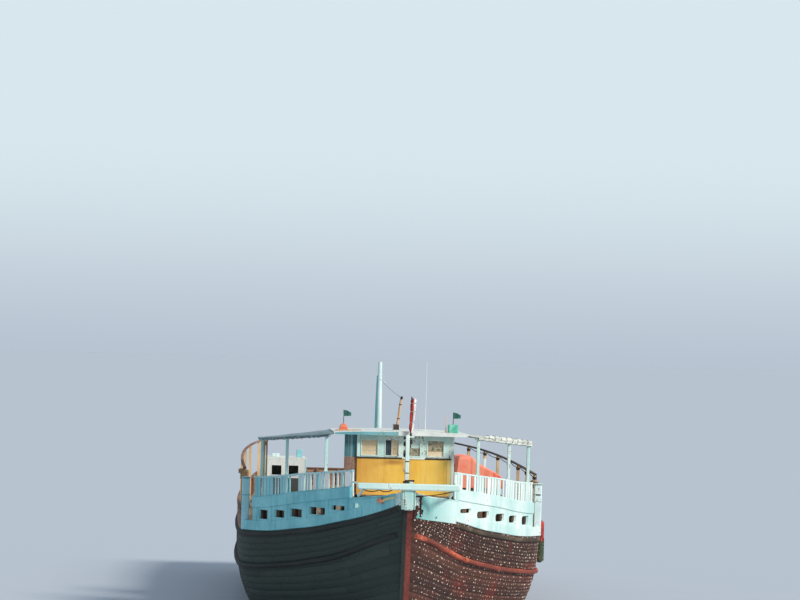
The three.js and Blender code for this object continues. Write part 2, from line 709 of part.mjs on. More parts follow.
// [y, t] of the outer beam's line, of the canvas edge outside it, and the t of each post
const EDGE = [[2425, 3510], [3775, 5700], [4600, 7215], [4640, 8240]];
const HEM = [
  [AWNING.inner, 3900], [2400, 3420], [2520, 3420], [3870, 5640], [4670, 7120], [4700, 7200],
  [4700, AWNING.end], [AWNING.inner, AWNING.end],
];
const POSTS = [3650, 5700, 7150];
const PROP = { t: 8240, y: -4420, half: 70 }; // a bare post under the starboard corner, down to the deck
const postY = (t) => (railOuter(t) + railInner(t)) / 2;
for (const [name, side] of SIDES) {
  const under = (y) => awningLow(y + AWNING.beam / 2) - AWNING.beam / 2 - GAP;
  const nodes = EDGE.map(([y, t]) => vec(t, side * y, under(y)));
  const inside = ROOF.half + 60;
  nodes.push(vec(EDGE.at(-1)[1], side * inside, under(inside)));
  const beams = nodes.slice(1).map((node, i) => beam(nodes[i], node, AWNING.beam, AWNING.beam));
  const posts = POSTS.map((t) => {
    const y = postY(t);
    const foot = Math.max(railTop(t - 50), railTop(t + 50)) + GAP;
    return box(t - 50, t + 50, side * (y - 50), side * (y + 50), foot, under(y));
  });
  if (side < 0)
    posts.push(
      box(
        PROP.t - AWNING.beam / 2, PROP.t + AWNING.beam / 2, PROP.y - PROP.half, PROP.y + PROP.half,
        sheer(PROP.t - AWNING.beam) + GAP, under(-PROP.y),
      ),
    );
  piece("awning_frame_" + name, join(...beams, ...posts), "turquoise");
  const plan = new THREE.Shape(HEM.map(([y, t]) => new THREE.Vector2(BOW - t, side * y)));
  const canvas = new THREE.ExtrudeGeometry(plan, { depth: AWNING.thick, bevelEnabled: false });
  const p = canvas.getAttribute("position");
  for (let i = 0; i < p.count; i++) p.setZ(i, p.getZ(i) + awningLow(p.getY(i)));
  piece("awning_" + name, canvas, "canvas");
}

// Gear on the roof
const roofRow = ROOF.half / (ROOF_ROWS / 2);
const crownAt = (row) => ROOF.crown - (ROOF.crown - ROOF.edge) * ((row * roofRow) / ROOF.half) ** 2;
function roofAt(y) {
  const row = Math.floor(y / roofRow);
  const u = y / roofRow - row;
  return crownAt(row) + u * (crownAt(row + 1) - crownAt(row)) + GAP;
}
const GEAR_T = 5200; // t of everything that stands on the roof
const SPAR = { y: -130, foot: 6600, tipY: 90, tip: 7640, thick: 45, thin: 35 };
const SPAR_BOX = { half: 120, low: -250, high: -20, top: 6700 };
piece(
  "signal_spar",
  join(
    box(
      GEAR_T - SPAR_BOX.half, GEAR_T + SPAR_BOX.half, SPAR_BOX.low, SPAR_BOX.high,
      roofAt(-SPAR_BOX.high), SPAR_BOX.top,
    ),
    bar(vec(GEAR_T, SPAR.y, SPAR.foot), vec(GEAR_T, SPAR.tipY, SPAR.tip), SPAR.thick, SPAR.thin, 12),
  ),
  "pale_timber",
);
const FLAG = { t: ROOF.start - 140, y: 390, foot: 5950, top: 7650, staff: 28, tip: 22 };
const CLOTH = { foot: 6450, top: 7600, lean: 60, thin: 90, thick: 120 }; // the flag, furled
const BRACKET = { half: 25, low: 6380, top: 6430 };
piece(
  "flagstaff",
  join(
    bar(vec(FLAG.t, FLAG.y, FLAG.foot), vec(FLAG.t, FLAG.y, FLAG.top), FLAG.staff, FLAG.tip, 12),
    bar(
      vec(FLAG.t, FLAG.y, CLOTH.foot), vec(FLAG.t, FLAG.y + CLOTH.lean, CLOTH.top),
      CLOTH.thin, CLOTH.thick, 12,
    ),
    box(
      FLAG.t, ROOF.start - GAP, FLAG.y - BRACKET.half, FLAG.y + BRACKET.half,
      BRACKET.low, BRACKET.top,
    ),
  ),
  "flag_red",
);
const WHIP = { y: 850, top: 8830, thick: 20, thin: 12 };
const whipFoot = vec(GEAR_T, WHIP.y, roofAt(WHIP.y - WHIP.thick));
piece("antenna", bar(whipFoot, vec(GEAR_T, WHIP.y, WHIP.top), WHIP.thick, WHIP.thin, 8), "iron");
const FLOATS = [["starboard", -1790], ["port", 1790]];
const FLOAT = { half: 150, wide: 170, top: 6760 };
const PENNANT = { stick: 14, foot: 6700, bottom: 6930, top: 7150, half: 15, inner: -10, outer: 130 };
for (const [name, y] of FLOATS)
  piece(
    "marker_float_" + name,
    join(
      box(
        GEAR_T - FLOAT.half, GEAR_T + FLOAT.half, y - FLOAT.wide, y + FLOAT.wide,
        roofAt(Math.abs(y) - FLOAT.wide), FLOAT.top,
      ),
      bar(vec(GEAR_T, y, PENNANT.foot), vec(GEAR_T, y, PENNANT.top), PENNANT.stick, PENNANT.stick, 8),
      box(
        GEAR_T - PENNANT.half, GEAR_T + PENNANT.half, y + PENNANT.inner, y + PENNANT.outer,
        PENNANT.bottom, PENNANT.top,
      ),
    ),
    name === "port" ? "turquoise" : "fender_red",
  );

// Cargo hatch with a lid hung at its aft edge
const H = HATCH;
const coaming = cut(
  box(H.start, H.end, -H.half, H.half, DECK + GAP, H.top),
  box(H.start + H.wall, H.end - H.wall, -H.half + H.wall, H.half - H.wall, DECK - 100, H.top + 100),
);
const LID_HINGE = { t: H.end + 100, z: H.top + 45, half: 400, radius: 30, lug: 60, low: 200, rise: 80 };
const LID = { lap: 40, back: 20, strap: 300, thin: 15, reach: 60 };
const lidLugs = [1, -1].map((s) => {
  const inner = s * (LID_HINGE.half + BARREL.play);
  return box(
    H.end - SINK, LID_HINGE.t + 40, inner, inner + s * LID_HINGE.lug,
    H.top - LID_HINGE.low, H.top + LID_HINGE.rise,
  );
});
piece("hatch_coaming", join(coaming, ...lidLugs), "pale_timber");
piece(
  "hatch_cover",
  join(
    box(
      H.start - LID.lap, H.end - LID.back, -H.half - LID.lap, H.half + LID.lap,
      H.top + GAP, H.top + H.lid,
    ),
    box(
      H.end - LID.reach, LID_HINGE.t, -LID.strap, LID.strap,
      LID_HINGE.z - LID.thin, LID_HINGE.z + LID.thin,
    ),
    bar(
      vec(LID_HINGE.t, -LID_HINGE.half, LID_HINGE.z), vec(LID_HINGE.t, LID_HINGE.half, LID_HINGE.z),
      LID_HINGE.radius, LID_HINGE.radius, 16,
    ),
  ),
  "deck_timber",
);

// Galley house on the starboard side, with two openings in front and a door inboard
const G = GALLEY;
const galleyDoor = { start: 11900, end: 12550, bottom: DECK + 120, top: 4750 };
const galleyHingeT = galleyDoor.start - 60;
const galleyLeaf = { low: galleyDoor.bottom - 30, top: galleyDoor.top + 20 };
const galleyLugs = lugHeights(galleyLeaf).map((low) => hingeLug(galleyHingeT, G.high, 1, low));
const GALLEY_WINDOWS = [[-4150, -3750], [-3550, -3150]];
const GALLEY_GLASS = { bottom: 4650, top: 5050 };
piece(
  "galley_house",
  cut(
    join(box(G.start, G.end, G.low, G.high, DECK + GAP, G.top), ...galleyLugs),
    box(G.start + G.wall, G.end - G.wall, G.low + G.wall, G.high - G.wall, DECK - 100, G.top - G.wall),
    box(
      galleyDoor.start, galleyDoor.end, G.high - BEYOND, G.high + BEYOND,
      galleyDoor.bottom, galleyDoor.top,
    ),
    ...GALLEY_WINDOWS.map(([y0, y1]) =>
      box(G.start - BEYOND, G.start + BEYOND, y0, y1, GALLEY_GLASS.bottom, GALLEY_GLASS.top),
    ),
  ),
  "white",
);
const galleyAxisY = G.high + BARREL.out;
piece(
  "galley_door",
  join(
    box(
      galleyHingeT + 25, galleyDoor.end + 30, G.high + DOOR.stand, G.high + DOOR.stand + DOOR.leaf,
      galleyLeaf.low, galleyLeaf.top,
    ),
    box(
      galleyHingeT, galleyHingeT + 45, galleyAxisY - STRAP.half, galleyAxisY + STRAP.half,
      galleyLeaf.low + STRAP.inset, galleyLeaf.top - STRAP.inset,
    ),
    bar(
      vec(galleyHingeT, galleyAxisY, galleyLeaf.low), vec(galleyHingeT, galleyAxisY, galleyLeaf.top),
      BARREL.radius, BARREL.radius, 12,
    ),
  ),
  "white",
);

// Deck locker on the port side, under a tarpaulin
const L = LOCKER;
piece("deck_locker", box(L.start, L.end, L.low, L.high, DECK + GAP, L.top), "pale_timber");
const TARP = { lap: 50, skirt: 450, over: 100 };
const tarpLow = L.top - TARP.skirt;
// [y, z] round the section, its underside let down over the locker
const tarpOutline = [
  [L.low - TARP.lap - 60, tarpLow], [L.low - TARP.lap - 30, 5390], [L.low, 5430], [3200, 5420],
  [3310, 5210], [L.high + 120, L.top + 20], [L.high + 200, tarpLow],
  [L.high + GAP, tarpLow], [L.high + GAP, L.top + GAP],
  [L.low - GAP, L.top + GAP], [L.low - GAP, tarpLow],
];
piece("tarpaulin", crosswise(tarpOutline, L.start - TARP.over, L.end + TARP.over), "tarpaulin_red");

// Mast, stepped on deck
const CLEAT = { low: -40, high: 230, z: 8000, radius: 30 };
const mastFoot = Math.max(sheer(MAST.t - MAST.step), sheer(MAST.t + MAST.step)) + GAP;
piece(
  "mast",
  join(
    bar(vec(MAST.t, 0, mastFoot), vec(MAST.t, 0, MAST.top), MAST.foot, MAST.head, 20),
    box(
      MAST.t - MAST.step, MAST.t + MAST.step, -MAST.step, MAST.step, mastFoot, mastFoot + MAST.stepRise,
    ),
    bar(vec(MAST.t, CLEAT.low, CLEAT.z), vec(MAST.t, CLEAT.high, CLEAT.z), CLEAT.radius, CLEAT.radius, 10),
  ),
  "turquoise",
);

// Small anchor hung beside the stem head, and the fender over the port side
const ANCHOR = { t: 120, y: 400, top: 4520, bottom: 3880, pin: 25, shank: 40, arm: 25, crown: 35 };
const ANCHOR_ARMS = [[-170, 0, 4040], [-30, 60, 4060]]; // tips, as [t and y from the shank, height]
const crown = vec(ANCHOR.t, ANCHOR.y, ANCHOR.bottom + LET_IN);
piece(
  "anchor",
  join(
    bar(
      vec(ANCHOR.t, HEAD.half + GAP, ANCHOR.top), vec(ANCHOR.t, ANCHOR.y + 60, ANCHOR.top),
      ANCHOR.pin, ANCHOR.pin, 10,
    ),
    bar(
      vec(ANCHOR.t, ANCHOR.y, ANCHOR.bottom), vec(ANCHOR.t, ANCHOR.y, ANCHOR.top + LET_IN),
      ANCHOR.shank, ANCHOR.crown, 10,
    ),
    ...ANCHOR_ARMS.map(([t, y, z]) =>
      bar(vec(ANCHOR.t + t, ANCHOR.y + y, z), crown, ANCHOR.arm, ANCHOR.crown, 8),
    ),
  ),
  "iron",
);
const FENDER = { t: 11000, radius: 150, foot: 130, low: 1800, top: 3300, out: 5465, sling: 25, lap: 230 };
const capTop = Math.max(sheer(FENDER.t - FENDER.sling), sheer(FENDER.t + FENDER.sling)) + WAIST.rise;
const slingZ = capTop + FENDER.sling + GAP;
const slingY = breadth(FENDER.t) + 60;
piece(
  "fender",
  join(
    bar(
      vec(FENDER.t, FENDER.out, FENDER.low), vec(FENDER.t, FENDER.out, FENDER.top),
      FENDER.foot, FENDER.radius, 14,
    ),
    bar(
      vec(FENDER.t, FENDER.out, FENDER.top - 2 * FENDER.sling), vec(FENDER.t, slingY, slingZ),
      FENDER.sling, FENDER.sling, 8,
    ),
    bar(
      vec(FENDER.t, slingY + LET_IN, slingZ), vec(FENDER.t, slingY - FENDER.lap, slingZ),
      FENDER.sling, FENDER.sling, 8,
    ),
  ),
  "fender_red",
);

export default ship;
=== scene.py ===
import math
from itertools import pairwise

import bmesh
import bpy
import numpy as np
from mathutils import Matrix, Vector, noise


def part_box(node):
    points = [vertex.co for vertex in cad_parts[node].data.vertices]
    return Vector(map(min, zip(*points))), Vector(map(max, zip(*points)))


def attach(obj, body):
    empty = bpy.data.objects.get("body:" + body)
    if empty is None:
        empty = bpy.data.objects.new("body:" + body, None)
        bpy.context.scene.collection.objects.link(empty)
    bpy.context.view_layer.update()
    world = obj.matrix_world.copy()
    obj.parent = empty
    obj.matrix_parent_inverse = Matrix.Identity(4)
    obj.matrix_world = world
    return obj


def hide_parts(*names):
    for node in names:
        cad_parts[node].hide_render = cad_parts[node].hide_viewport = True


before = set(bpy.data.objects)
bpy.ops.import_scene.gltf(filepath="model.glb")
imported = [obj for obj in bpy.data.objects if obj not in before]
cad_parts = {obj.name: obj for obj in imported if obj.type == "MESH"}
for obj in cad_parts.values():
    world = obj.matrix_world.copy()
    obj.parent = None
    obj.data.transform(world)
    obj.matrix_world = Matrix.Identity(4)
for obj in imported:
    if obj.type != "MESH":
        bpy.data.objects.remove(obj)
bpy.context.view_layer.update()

# Camera: it stands far ahead of the ship and a little to starboard, nine metres up, with a long
# lens. A distance called t runs aft from the stem head, so that x = BOW - t.
BOW = 15.0
STERN = 30.0
EYE = Vector((114.77, -6.81, 9.0))
HEADING = 0.0637  # sine of the angle between the view and the keel
FOCAL_PIXELS = 3130
HORIZON_PIXELS = 56  # of the level line below the picture's middle
ROLL = 0.0262
PICTURE_WIDTH = 800
SENSOR = 36.0
FARTHEST_SEEN = 20000


def put(name, data):
    """A new object in the scene."""
    made = bpy.data.objects.new(name, data)
    bpy.context.scene.collection.objects.link(made)
    return made


camera = put("camera", bpy.data.cameras.new("camera"))
camera.data.sensor_width = SENSOR
camera.data.lens = FOCAL_PIXELS * SENSOR / PICTURE_WIDTH
camera.data.clip_end = FARTHEST_SEEN
ahead = Vector((-math.cos(math.asin(HEADING)), HEADING, 0))
level = Vector((HEADING, -ahead.x, 0))
tilt = math.atan2(HORIZON_PIXELS, FOCAL_PIXELS)
forward = ahead * math.cos(tilt) + Vector((0, 0, math.sin(tilt)))
upright = level.cross(forward)
right = level * math.cos(ROLL) + upright * math.sin(ROLL)
up = upright * math.cos(ROLL) - level * math.sin(ROLL)
turn = Matrix((right, up, -forward)).transposed().to_4x4()
camera.matrix_world = Matrix.Translation(EYE) @ turn
bpy.context.scene.camera = camera


# Floor and light: a wide pale floor at the waterline, soft light from a pale sky all round, and a
# broad lamp like a hazy sun from the port bow.
class Value:
    """A number or a colour inside a net of nodes. Sums and products with it add Math nodes."""

    def __init__(self, net, socket):
        self.net = net
        self.socket = socket

    def maths(self, operation, *values):
        return self.net.node("ShaderNodeMath", {"operation": operation}, dict(enumerate(values)))

    def __add__(self, other):
        return self.maths("ADD", self, other)

    def __radd__(self, other):
        return self.maths("ADD", other, self)

    def __sub__(self, other):
        return self.maths("SUBTRACT", self, other)

    def __rsub__(self, other):
        return self.maths("SUBTRACT", other, self)

    def __mul__(self, other):
        return self.maths("MULTIPLY", self, other)

    def __rmul__(self, other):
        return self.maths("MULTIPLY", other, self)

    def __truediv__(self, other):
        return self.maths("DIVIDE", self, other)

    def whole(self):
        return self.maths("FLOOR", self)

    def rest(self):
        return self.maths("FRACT", self)


class Net:
    """A tree of nodes."""

    def __init__(self, tree):
        self.tree = tree

    def fill(self, socket, value):
        if isinstance(value, Value):
            self.tree.links.new(value.socket, socket)
        elif hasattr(socket.default_value, "__len__") and len(socket.default_value) == 4:
            socket.default_value = (*value[:3], 1)
        else:
            socket.default_value = value

    def node(self, kind, settings=None, sockets=None, take=0):
        made = self.tree.nodes.new(kind)
        for name, value in (settings or {}).items():
            if name == "stops":
                ramp = made.color_ramp
                while len(ramp.elements) < len(value):
                    ramp.elements.new(1)
                for element, (position, colour) in zip(ramp.elements, value):
                    element.position = position
                    element.color = (*colour, 1)
            else:
                setattr(made, name, value)
        for key, value in (sockets or {}).items():
            self.fill(made.inputs[key], value)
        return Value(self, made.outputs[take])

    def between(self, value, low, high):
        """A number that rises smoothly from 0 to 1 while value goes from low to high."""
        sockets = {"Value": value, "From Min": low, "From Max": high}
        return self.node("ShaderNodeMapRange", {"interpolation_type": "SMOOTHSTEP"}, sockets)

    def blend(self, first, second, share):
        sockets = {0: share, 6: first, 7: second}
        return self.node("ShaderNodeMix", {"data_type": "RGBA"}, sockets, take=2)


class Finish(Net):
    """One material. It keeps a slot name, which nothing reads."""

    def __init__(self, name, slot, roughness=0.7):
        self.slot = slot
        self.material = bpy.data.materials.new(name)
        self.material.use_nodes = True
        super().__init__(self.material.node_tree)
        self.tree.nodes.clear()
        self.shader = self.tree.nodes.new("ShaderNodeBsdfPrincipled")
        output = self.tree.nodes.new("ShaderNodeOutputMaterial")
        self.tree.links.new(self.shader.outputs[0], output.inputs[0])
        self.shader.inputs["Roughness"].default_value = roughness
        self.place = self.node("ShaderNodeTexCoord", take="Object")

    def set(self, socket, value):
        self.fill(self.shader.inputs[socket], value)

    def part(self, axis, source=None):
        return self.node("ShaderNodeSeparateXYZ", sockets={0: source or self.place}, take=axis)

    def noise(self, scale, stretch=(1, 1, 1), detail=3.0, rough=0.55):
        vector = self.node("ShaderNodeMapping", sockets={"Vector": self.place, "Scale": stretch})
        sockets = {"Vector": vector, "Scale": scale, "Detail": detail, "Roughness": rough}
        return self.node("ShaderNodeTexNoise", sockets=sockets)

    def speckle(self, source):
        """A number from 0 to 1 that jumps from one value of source to the next."""
        return self.node("ShaderNodeTexWhiteNoise", {"noise_dimensions": "1D"}, {"W": source})

    def ramp(self, value, *stops):
        return self.node("ShaderNodeValToRGB", {"stops": stops}, {0: value})

    def own(self, name):
        """The piece's own attribute of that name."""
        return self.node("ShaderNodeAttribute", {"attribute_name": name}, take="Fac")

    def surface(self, colour, roughness=None, height=None, depth=0.0):
        """Sets what changes over the piece: its colour, its roughness and its relief."""
        self.set("Base Color", colour)
        if roughness:
            self.set("Roughness", roughness)
        if height:
            self.set("Normal", self.node("ShaderNodeBump", sockets={"Height": height, "Distance": depth}))
        return self


def tint(red, green, blue):
    """A screen colour from 0 to 255 as light."""

    def light(part):
        share = part / 255
        return share / 12.92 if share <= 0.04045 else ((share + 0.055) / 1.055) ** 2.4

    return (light(red), light(green), light(blue))


def around(count):
    """Angles spread evenly round a circle."""
    return np.linspace(0, 2 * math.pi, count, endpoint=False)


FLOOR = {"radius": 6000, "corners": 64, "colour": tint(186, 194, 204)}
SKY_LIGHT = (0.40, 0.47, 0.55)
SKY_SEEN = tint(216, 231, 238)
HAZE = tint(183, 194, 208)  # as the lit floor looks, so that no horizon shows
HAZE_FOOT, HAZE_TOP = -0.01, 0.07
LAMP = {"power": 3.1, "width": math.radians(14), "colour": (1.0, 0.95, 0.87)}
LAMP_FROM = Vector((0.62, 0.68, 0.62))  # towards the lamp

scene = bpy.context.scene
scene.view_settings.view_transform = "Standard"
scene.world = bpy.data.worlds.new("sky")
scene.world.use_nodes = True
sky = Net(scene.world.node_tree)
sky.tree.nodes.clear()
direction = sky.node("ShaderNodeTexCoord", take="Generated")
rise = sky.node("ShaderNodeSeparateXYZ", sockets={0: direction}, take="Z")
seen = sky.blend(HAZE, SKY_SEEN, sky.between(rise, HAZE_FOOT, HAZE_TOP))
camera_ray = sky.node("ShaderNodeLightPath", take="Is Camera Ray")
glow = sky.node("ShaderNodeBackground", sockets={0: sky.blend(SKY_LIGHT, seen, camera_ray)})
sky.tree.links.new(glow.socket, sky.tree.nodes.new("ShaderNodeOutputWorld").inputs[0])
lamp = put("lamp", bpy.data.lights.new("lamp", "SUN"))
lamp.data.energy = LAMP["power"]
lamp.data.angle = LAMP["width"]
lamp.data.color = LAMP["colour"]
lamp.rotation_euler = LAMP_FROM.to_track_quat("Z", "Y").to_euler()
mesh = bpy.data.meshes.new("floor")
reach = FLOOR["radius"]
corners = [(reach * math.cos(a), reach * math.sin(a), 0) for a in around(FLOOR["corners"])]
mesh.from_pydata(corners, [], [list(range(FLOOR["corners"]))])
mesh.materials.append(Finish("floor", None, 0.9).surface(FLOOR["colour"]).material)
put("floor", mesh)


# Hull: carvel planks laid from the stem round to the flat transom, in strakes that follow the sheer
# and the wale above them. Each strake is a band of the mesh with a sunk seam along both its edges.
class Curve:
    """A measure along the ship, as a function of t. A number added to it shifts all of it."""

    def __init__(self, at):
        self.at = at

    def __call__(self, t):
        return self.at(t)

    def __add__(self, shift):
        return Curve(lambda t: self.at(t) + shift)

    def __sub__(self, shift):
        return Curve(lambda t: self.at(t) - shift)


def line(*rows):
    """A smooth curve through a short table of (t, value) rows."""
    places = [row[0] for row in rows]
    values = [row[1] for row in rows]
    last = len(rows) - 1
    slopes = []
    for i in range(len(rows)):
        a, b = max(0, i - 1), min(last, i + 1)
        slopes.append((values[b] - values[a]) / (places[b] - places[a]))

    def at_place(t):
        t = np.clip(t, places[0], places[-1])
        i = np.clip(np.searchsorted(places, t) - 1, 0, last - 1)
        start = np.take(places, i)
        span = np.take(places, i + 1) - start
        u = (t - start) / span
        rise = np.take(values, i + 1) - np.take(values, i)
        bend = np.take(slopes, i) * span - rise
        unbend = rise - np.take(slopes, i + 1) * span
        return np.take(values, i) + u * rise + u * (1 - u) * ((1 - u) * bend + u * unbend)

    return Curve(at_place)


sheer = line(
    (0.25, 4.24), (1, 3.97), (2, 3.7), (3, 3.5), (4, 3.29), (5, 3.15), (6.5, 2.97), (8, 2.9),
    (10, 2.865), (11, 2.85), (13, 2.85), (15, 2.85), (19, 2.92), (22.5, 3.08), (25.5, 3.28),
    (27.5, 3.45), (30, 3.6),
)
breadth = line(
    (0.25, 0.3), (1, 0.88), (2, 1.55), (3, 2.15), (4, 2.8), (5, 3.42), (6, 3.97), (7, 4.54),
    (8, 4.97), (9, 5.18), (10, 5.23), (11, 5.24), (14, 5.25), (18, 5.19), (22, 5.0), (26, 4.6), (30, 3.9),
)
rabbet = line(
    (0.25, 4.08), (0.59, 3), (0.87, 2), (1.1, 1.2), (1.6, 0), (2.4, -1), (3.45, -1.6), (4.9, -2),
    (7, -2.2), (15, -2.2), (22.5, -2.2), (24.5, -2.05), (26, -1.65), (27.5, -0.8), (29, 0.1),
    (30, 0.5),
)
fullness = line((0.25, 1), (2, 1.05), (4.5, 1.4), (8, 2.3), (12, 3), (20, 3), (26, 2.2), (30, 1.9))
roundness = line((0.25, 1.02), (2, 1.08), (4.5, 1.25), (8, 1.5), (12, 1.6), (24, 1.6), (30, 1.5))
wale_height = line(
    (0.25, 3.45), (1.4, 3.05), (2.6, 2.65), (3.6, 2.36), (4.7, 2.14), (5.5, 2), (7.7, 1.76),
    (11, 1.7), (15, 1.7), (19, 1.77), (22.5, 1.93), (25.5, 2.13), (27.5, 2.3), (30, 2.45),
)
# The lowest strake's edge: the keel, carried on below the forefoot
garboard = line(
    (0, -1.9), (3.45, -2.08), (7, -2.2), (15, -2.2), (22.5, -2.2), (24.5, -2.05), (26, -1.65),
    (27.5, -0.8), (29, 0.1), (30, 0.5),
)
KEEL_HALF = 0.15
STRAKES_ABOVE = 5  # between sheer and wale
STRAKES_BELOW = 30
SEAM = 0.012
PLANK_LENGTH = 6.5
STATION_COUNT = 130
MIDSHIP = 13.0
SIDES = (("port", 1), ("starboard", -1))


def hull_half(t, z):
    share = np.clip((z - rabbet(t)) / (sheer(t) - rabbet(t)), 0, 1)
    full = (1 - (1 - share) ** fullness(t)) ** (1 / roundness(t))
    return KEEL_HALF + (breadth(t) - KEEL_HALF) * full


def edges_below_wale():
    """Shares of the way from wale to keel that cut the midship girth into equal strakes."""
    z = np.linspace(wale_height(MIDSHIP), garboard(MIDSHIP), 400)
    girth = np.hypot(np.diff(z), np.diff(hull_half(MIDSHIP, z)))
    run = np.concatenate([[0], np.cumsum(girth)])
    even = np.linspace(0, run[-1], STRAKES_BELOW + 1)
    return (z[0] - np.interp(even, run, z)) / (z[0] - z[-1])


STRAKE_EDGES = np.concatenate(
    [np.linspace(-1, 0, STRAKES_ABOVE + 1), edges_below_wale()[1:]]
)


def strake_z(place, t):
    """Height of a line along the hull: place -1 is the sheer, 0 the wale and 1 the keel."""
    top = wale_height(t)
    if place < 0:
        return top - place * (sheer(t) - top)
    return top + place * (garboard(t) - top)


def first_t(place):
    """Where a line along the hull meets the stem."""
    low, high = 0.25, 7.0  # the foremost and aftmost places where one can
    if strake_z(place, low) >= rabbet(low):
        return low
    for _ in range(30):
        middle = (low + high) / 2
        if strake_z(place, middle) >= rabbet(middle):
            high = middle
        else:
            low = middle
    return high


def hull_row(place):
    start = first_t(place)
    t = start + (STERN - start) * np.linspace(0, 1, STATION_COUNT) ** 1.3
    z = strake_z(place, t)
    return np.stack([t, hull_half(t, z), z], axis=1)


def afloat(points):
    """(t, y, z) rows as (x, y, z)."""
    points = np.array(points, float).reshape(-1, 3)
    points[:, 0] = BOW - points[:, 0]
    return points


def eased(a, b, c, d, ease):
    """The outline of a timber from a to b and from c to d, with its corners cut."""
    return [
        (a + ease, c), (b - ease, c), (b, c + ease), (b, d - ease),
        (b - ease, d), (a + ease, d), (a, d - ease), (a, c + ease),
    ]


class Shape:
    """Corners and faces of one piece as it is put together, in (t, y, z) metres."""

    def __init__(self):
        self.corners = []
        self.faces = []
        self.tones = []
        self.count = 0

    def add(self, corners, faces, tone=0.0):
        corners = np.array(corners, float).reshape(-1, 3)
        self.corners.append(corners)
        self.faces.extend([[i + self.count for i in face] for face in faces])
        self.tones.append(np.broadcast_to(tone, len(corners)))
        self.count += len(corners)
        return self

    def loft(self, rings, tone=0.0):
        """A body through rings with equal numbers of points."""
        size = len(rings[0])
        last = (len(rings) - 1) * size
        faces = []
        for start in range(0, last, size):
            for j in range(size):
                k = (j + 1) % size
                faces.append([start + j, start + k, start + size + k, start + size + j])
        faces.append(list(range(size)))
        faces.append([last + j for j in range(size)])
        return self.add(np.concatenate([np.array(ring, float) for ring in rings]), faces, tone)

    def box(self, t, y, z, ease=0.012, tone=0.0):
        """A squared timber between pairs of t, y and z, with its arrises eased."""
        (t0, t1), (y0, y1), (z0, z1) = sorted(t), sorted(y), sorted(z)
        ease = min(ease, (t1 - t0) / 3, (y1 - y0) / 3, (z1 - z0) / 3)
        rings = []
        for place, inset in ((t0, ease), (t0 + ease, 0), (t1 - ease, 0), (t1, ease)):
            outline = eased(y0 + inset, y1 - inset, z0 + inset, z1 - inset, ease)
            rings.append([(place, y, z) for y, z in outline])
        return self.loft(rings, tone)

    def strip(self, side, span, outer, inner, low, top, ease=0.01, steps=40, tone=0.0):
        """A plank laid along one side of the ship. Its four edges are curves."""
        rings = []
        for t in np.linspace(span[0], span[1], steps + 1):
            a, b = sorted((outer(t), inner(t)))
            c, d = low(t), top(t)
            outline = eased(a, b, c, d, min(ease, (b - a) / 3, (d - c) / 3))
            rings.append([(t, side * y, z) for y, z in outline])
        return self.loft(rings, tone)

    def beam(self, start, end, wide, high, ease=0.01, tone=0.0):
        """A squared timber from one point to another."""
        start, end = Vector(start), Vector(end)
        along = (end - start).normalized()
        aside = along.cross(Vector((0, 0, 1)))
        aside = aside.normalized() if aside.length > 1e-4 else Vector((0, 1, 0))
        up = aside.cross(along)
        a, b = wide / 2, high / 2
        outline = eased(-a, a, -b, b, min(ease, a / 2, b / 2))
        return self.loft([[p + aside * u + up * w for u, w in outline] for p in (start, end)], tone)

    def tube(self, path, radius, sides=10, tone=0.0):
        """A round bar along a path. The radius is one number, or one for each point."""
        path = [Vector(p) for p in path]
        radii = [radius] * len(path) if isinstance(radius, (int, float)) else radius
        rings = []
        for i, (point, size) in enumerate(zip(path, radii)):
            along = (path[min(i + 1, len(path) - 1)] - path[max(i - 1, 0)]).normalized()
            if i == 0:
                aside = along.orthogonal().normalized()
            else:
                aside = (aside - along * aside.dot(along)).normalized()
            up = along.cross(aside)
            rings.append([point + (aside * math.cos(a) + up * math.sin(a)) * size for a in around(sides)])
        return self.loft(rings, tone)

    def upright(self, t, y, heights, radius, sides=12, tone=0.0):
        """A round bar that stands up, with its radius given as for a tube."""
        return self.tube([(t, y, z) for z in heights], radius, sides, tone)

    def mesh(self, name):
        mesh = bpy.data.meshes.new(name)
        mesh.from_pydata(afloat(np.concatenate(self.corners)), [], self.faces)
        return mesh

    def piece(self, name, finish, body="ship", replaces=(), crease=35, slot=None):
        """The finished piece, riding on its body."""
        mesh = self.mesh(name)
        tone = mesh.attributes.new("tone", "FLOAT", "POINT")
        tone.data.foreach_set("value", np.concatenate(self.tones).astype(np.float32))
        return settle(mesh, name, finish, body, replaces, crease, slot)


def face_outwards(mesh):
    work = bmesh.new()
    work.from_mesh(mesh)
    bmesh.ops.recalc_face_normals(work, faces=work.faces)
    work.to_mesh(mesh)
    work.free()


def settle(mesh, name, finish, body="ship", replaces=(), crease=35, slot=None):
    """Makes a mesh in its place a piece: faces out, finish on, riding on its body."""
    face_outwards(mesh)
    mesh.name = name
    mesh.shade_smooth()
    mesh.set_sharp_from_angle(angle=math.radians(crease))
    mesh.materials.clear()
    mesh.materials.append(finish.material)
    made = put(name, mesh)
    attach(made, body)
    if replaces:
        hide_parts(*replaces)
    return made


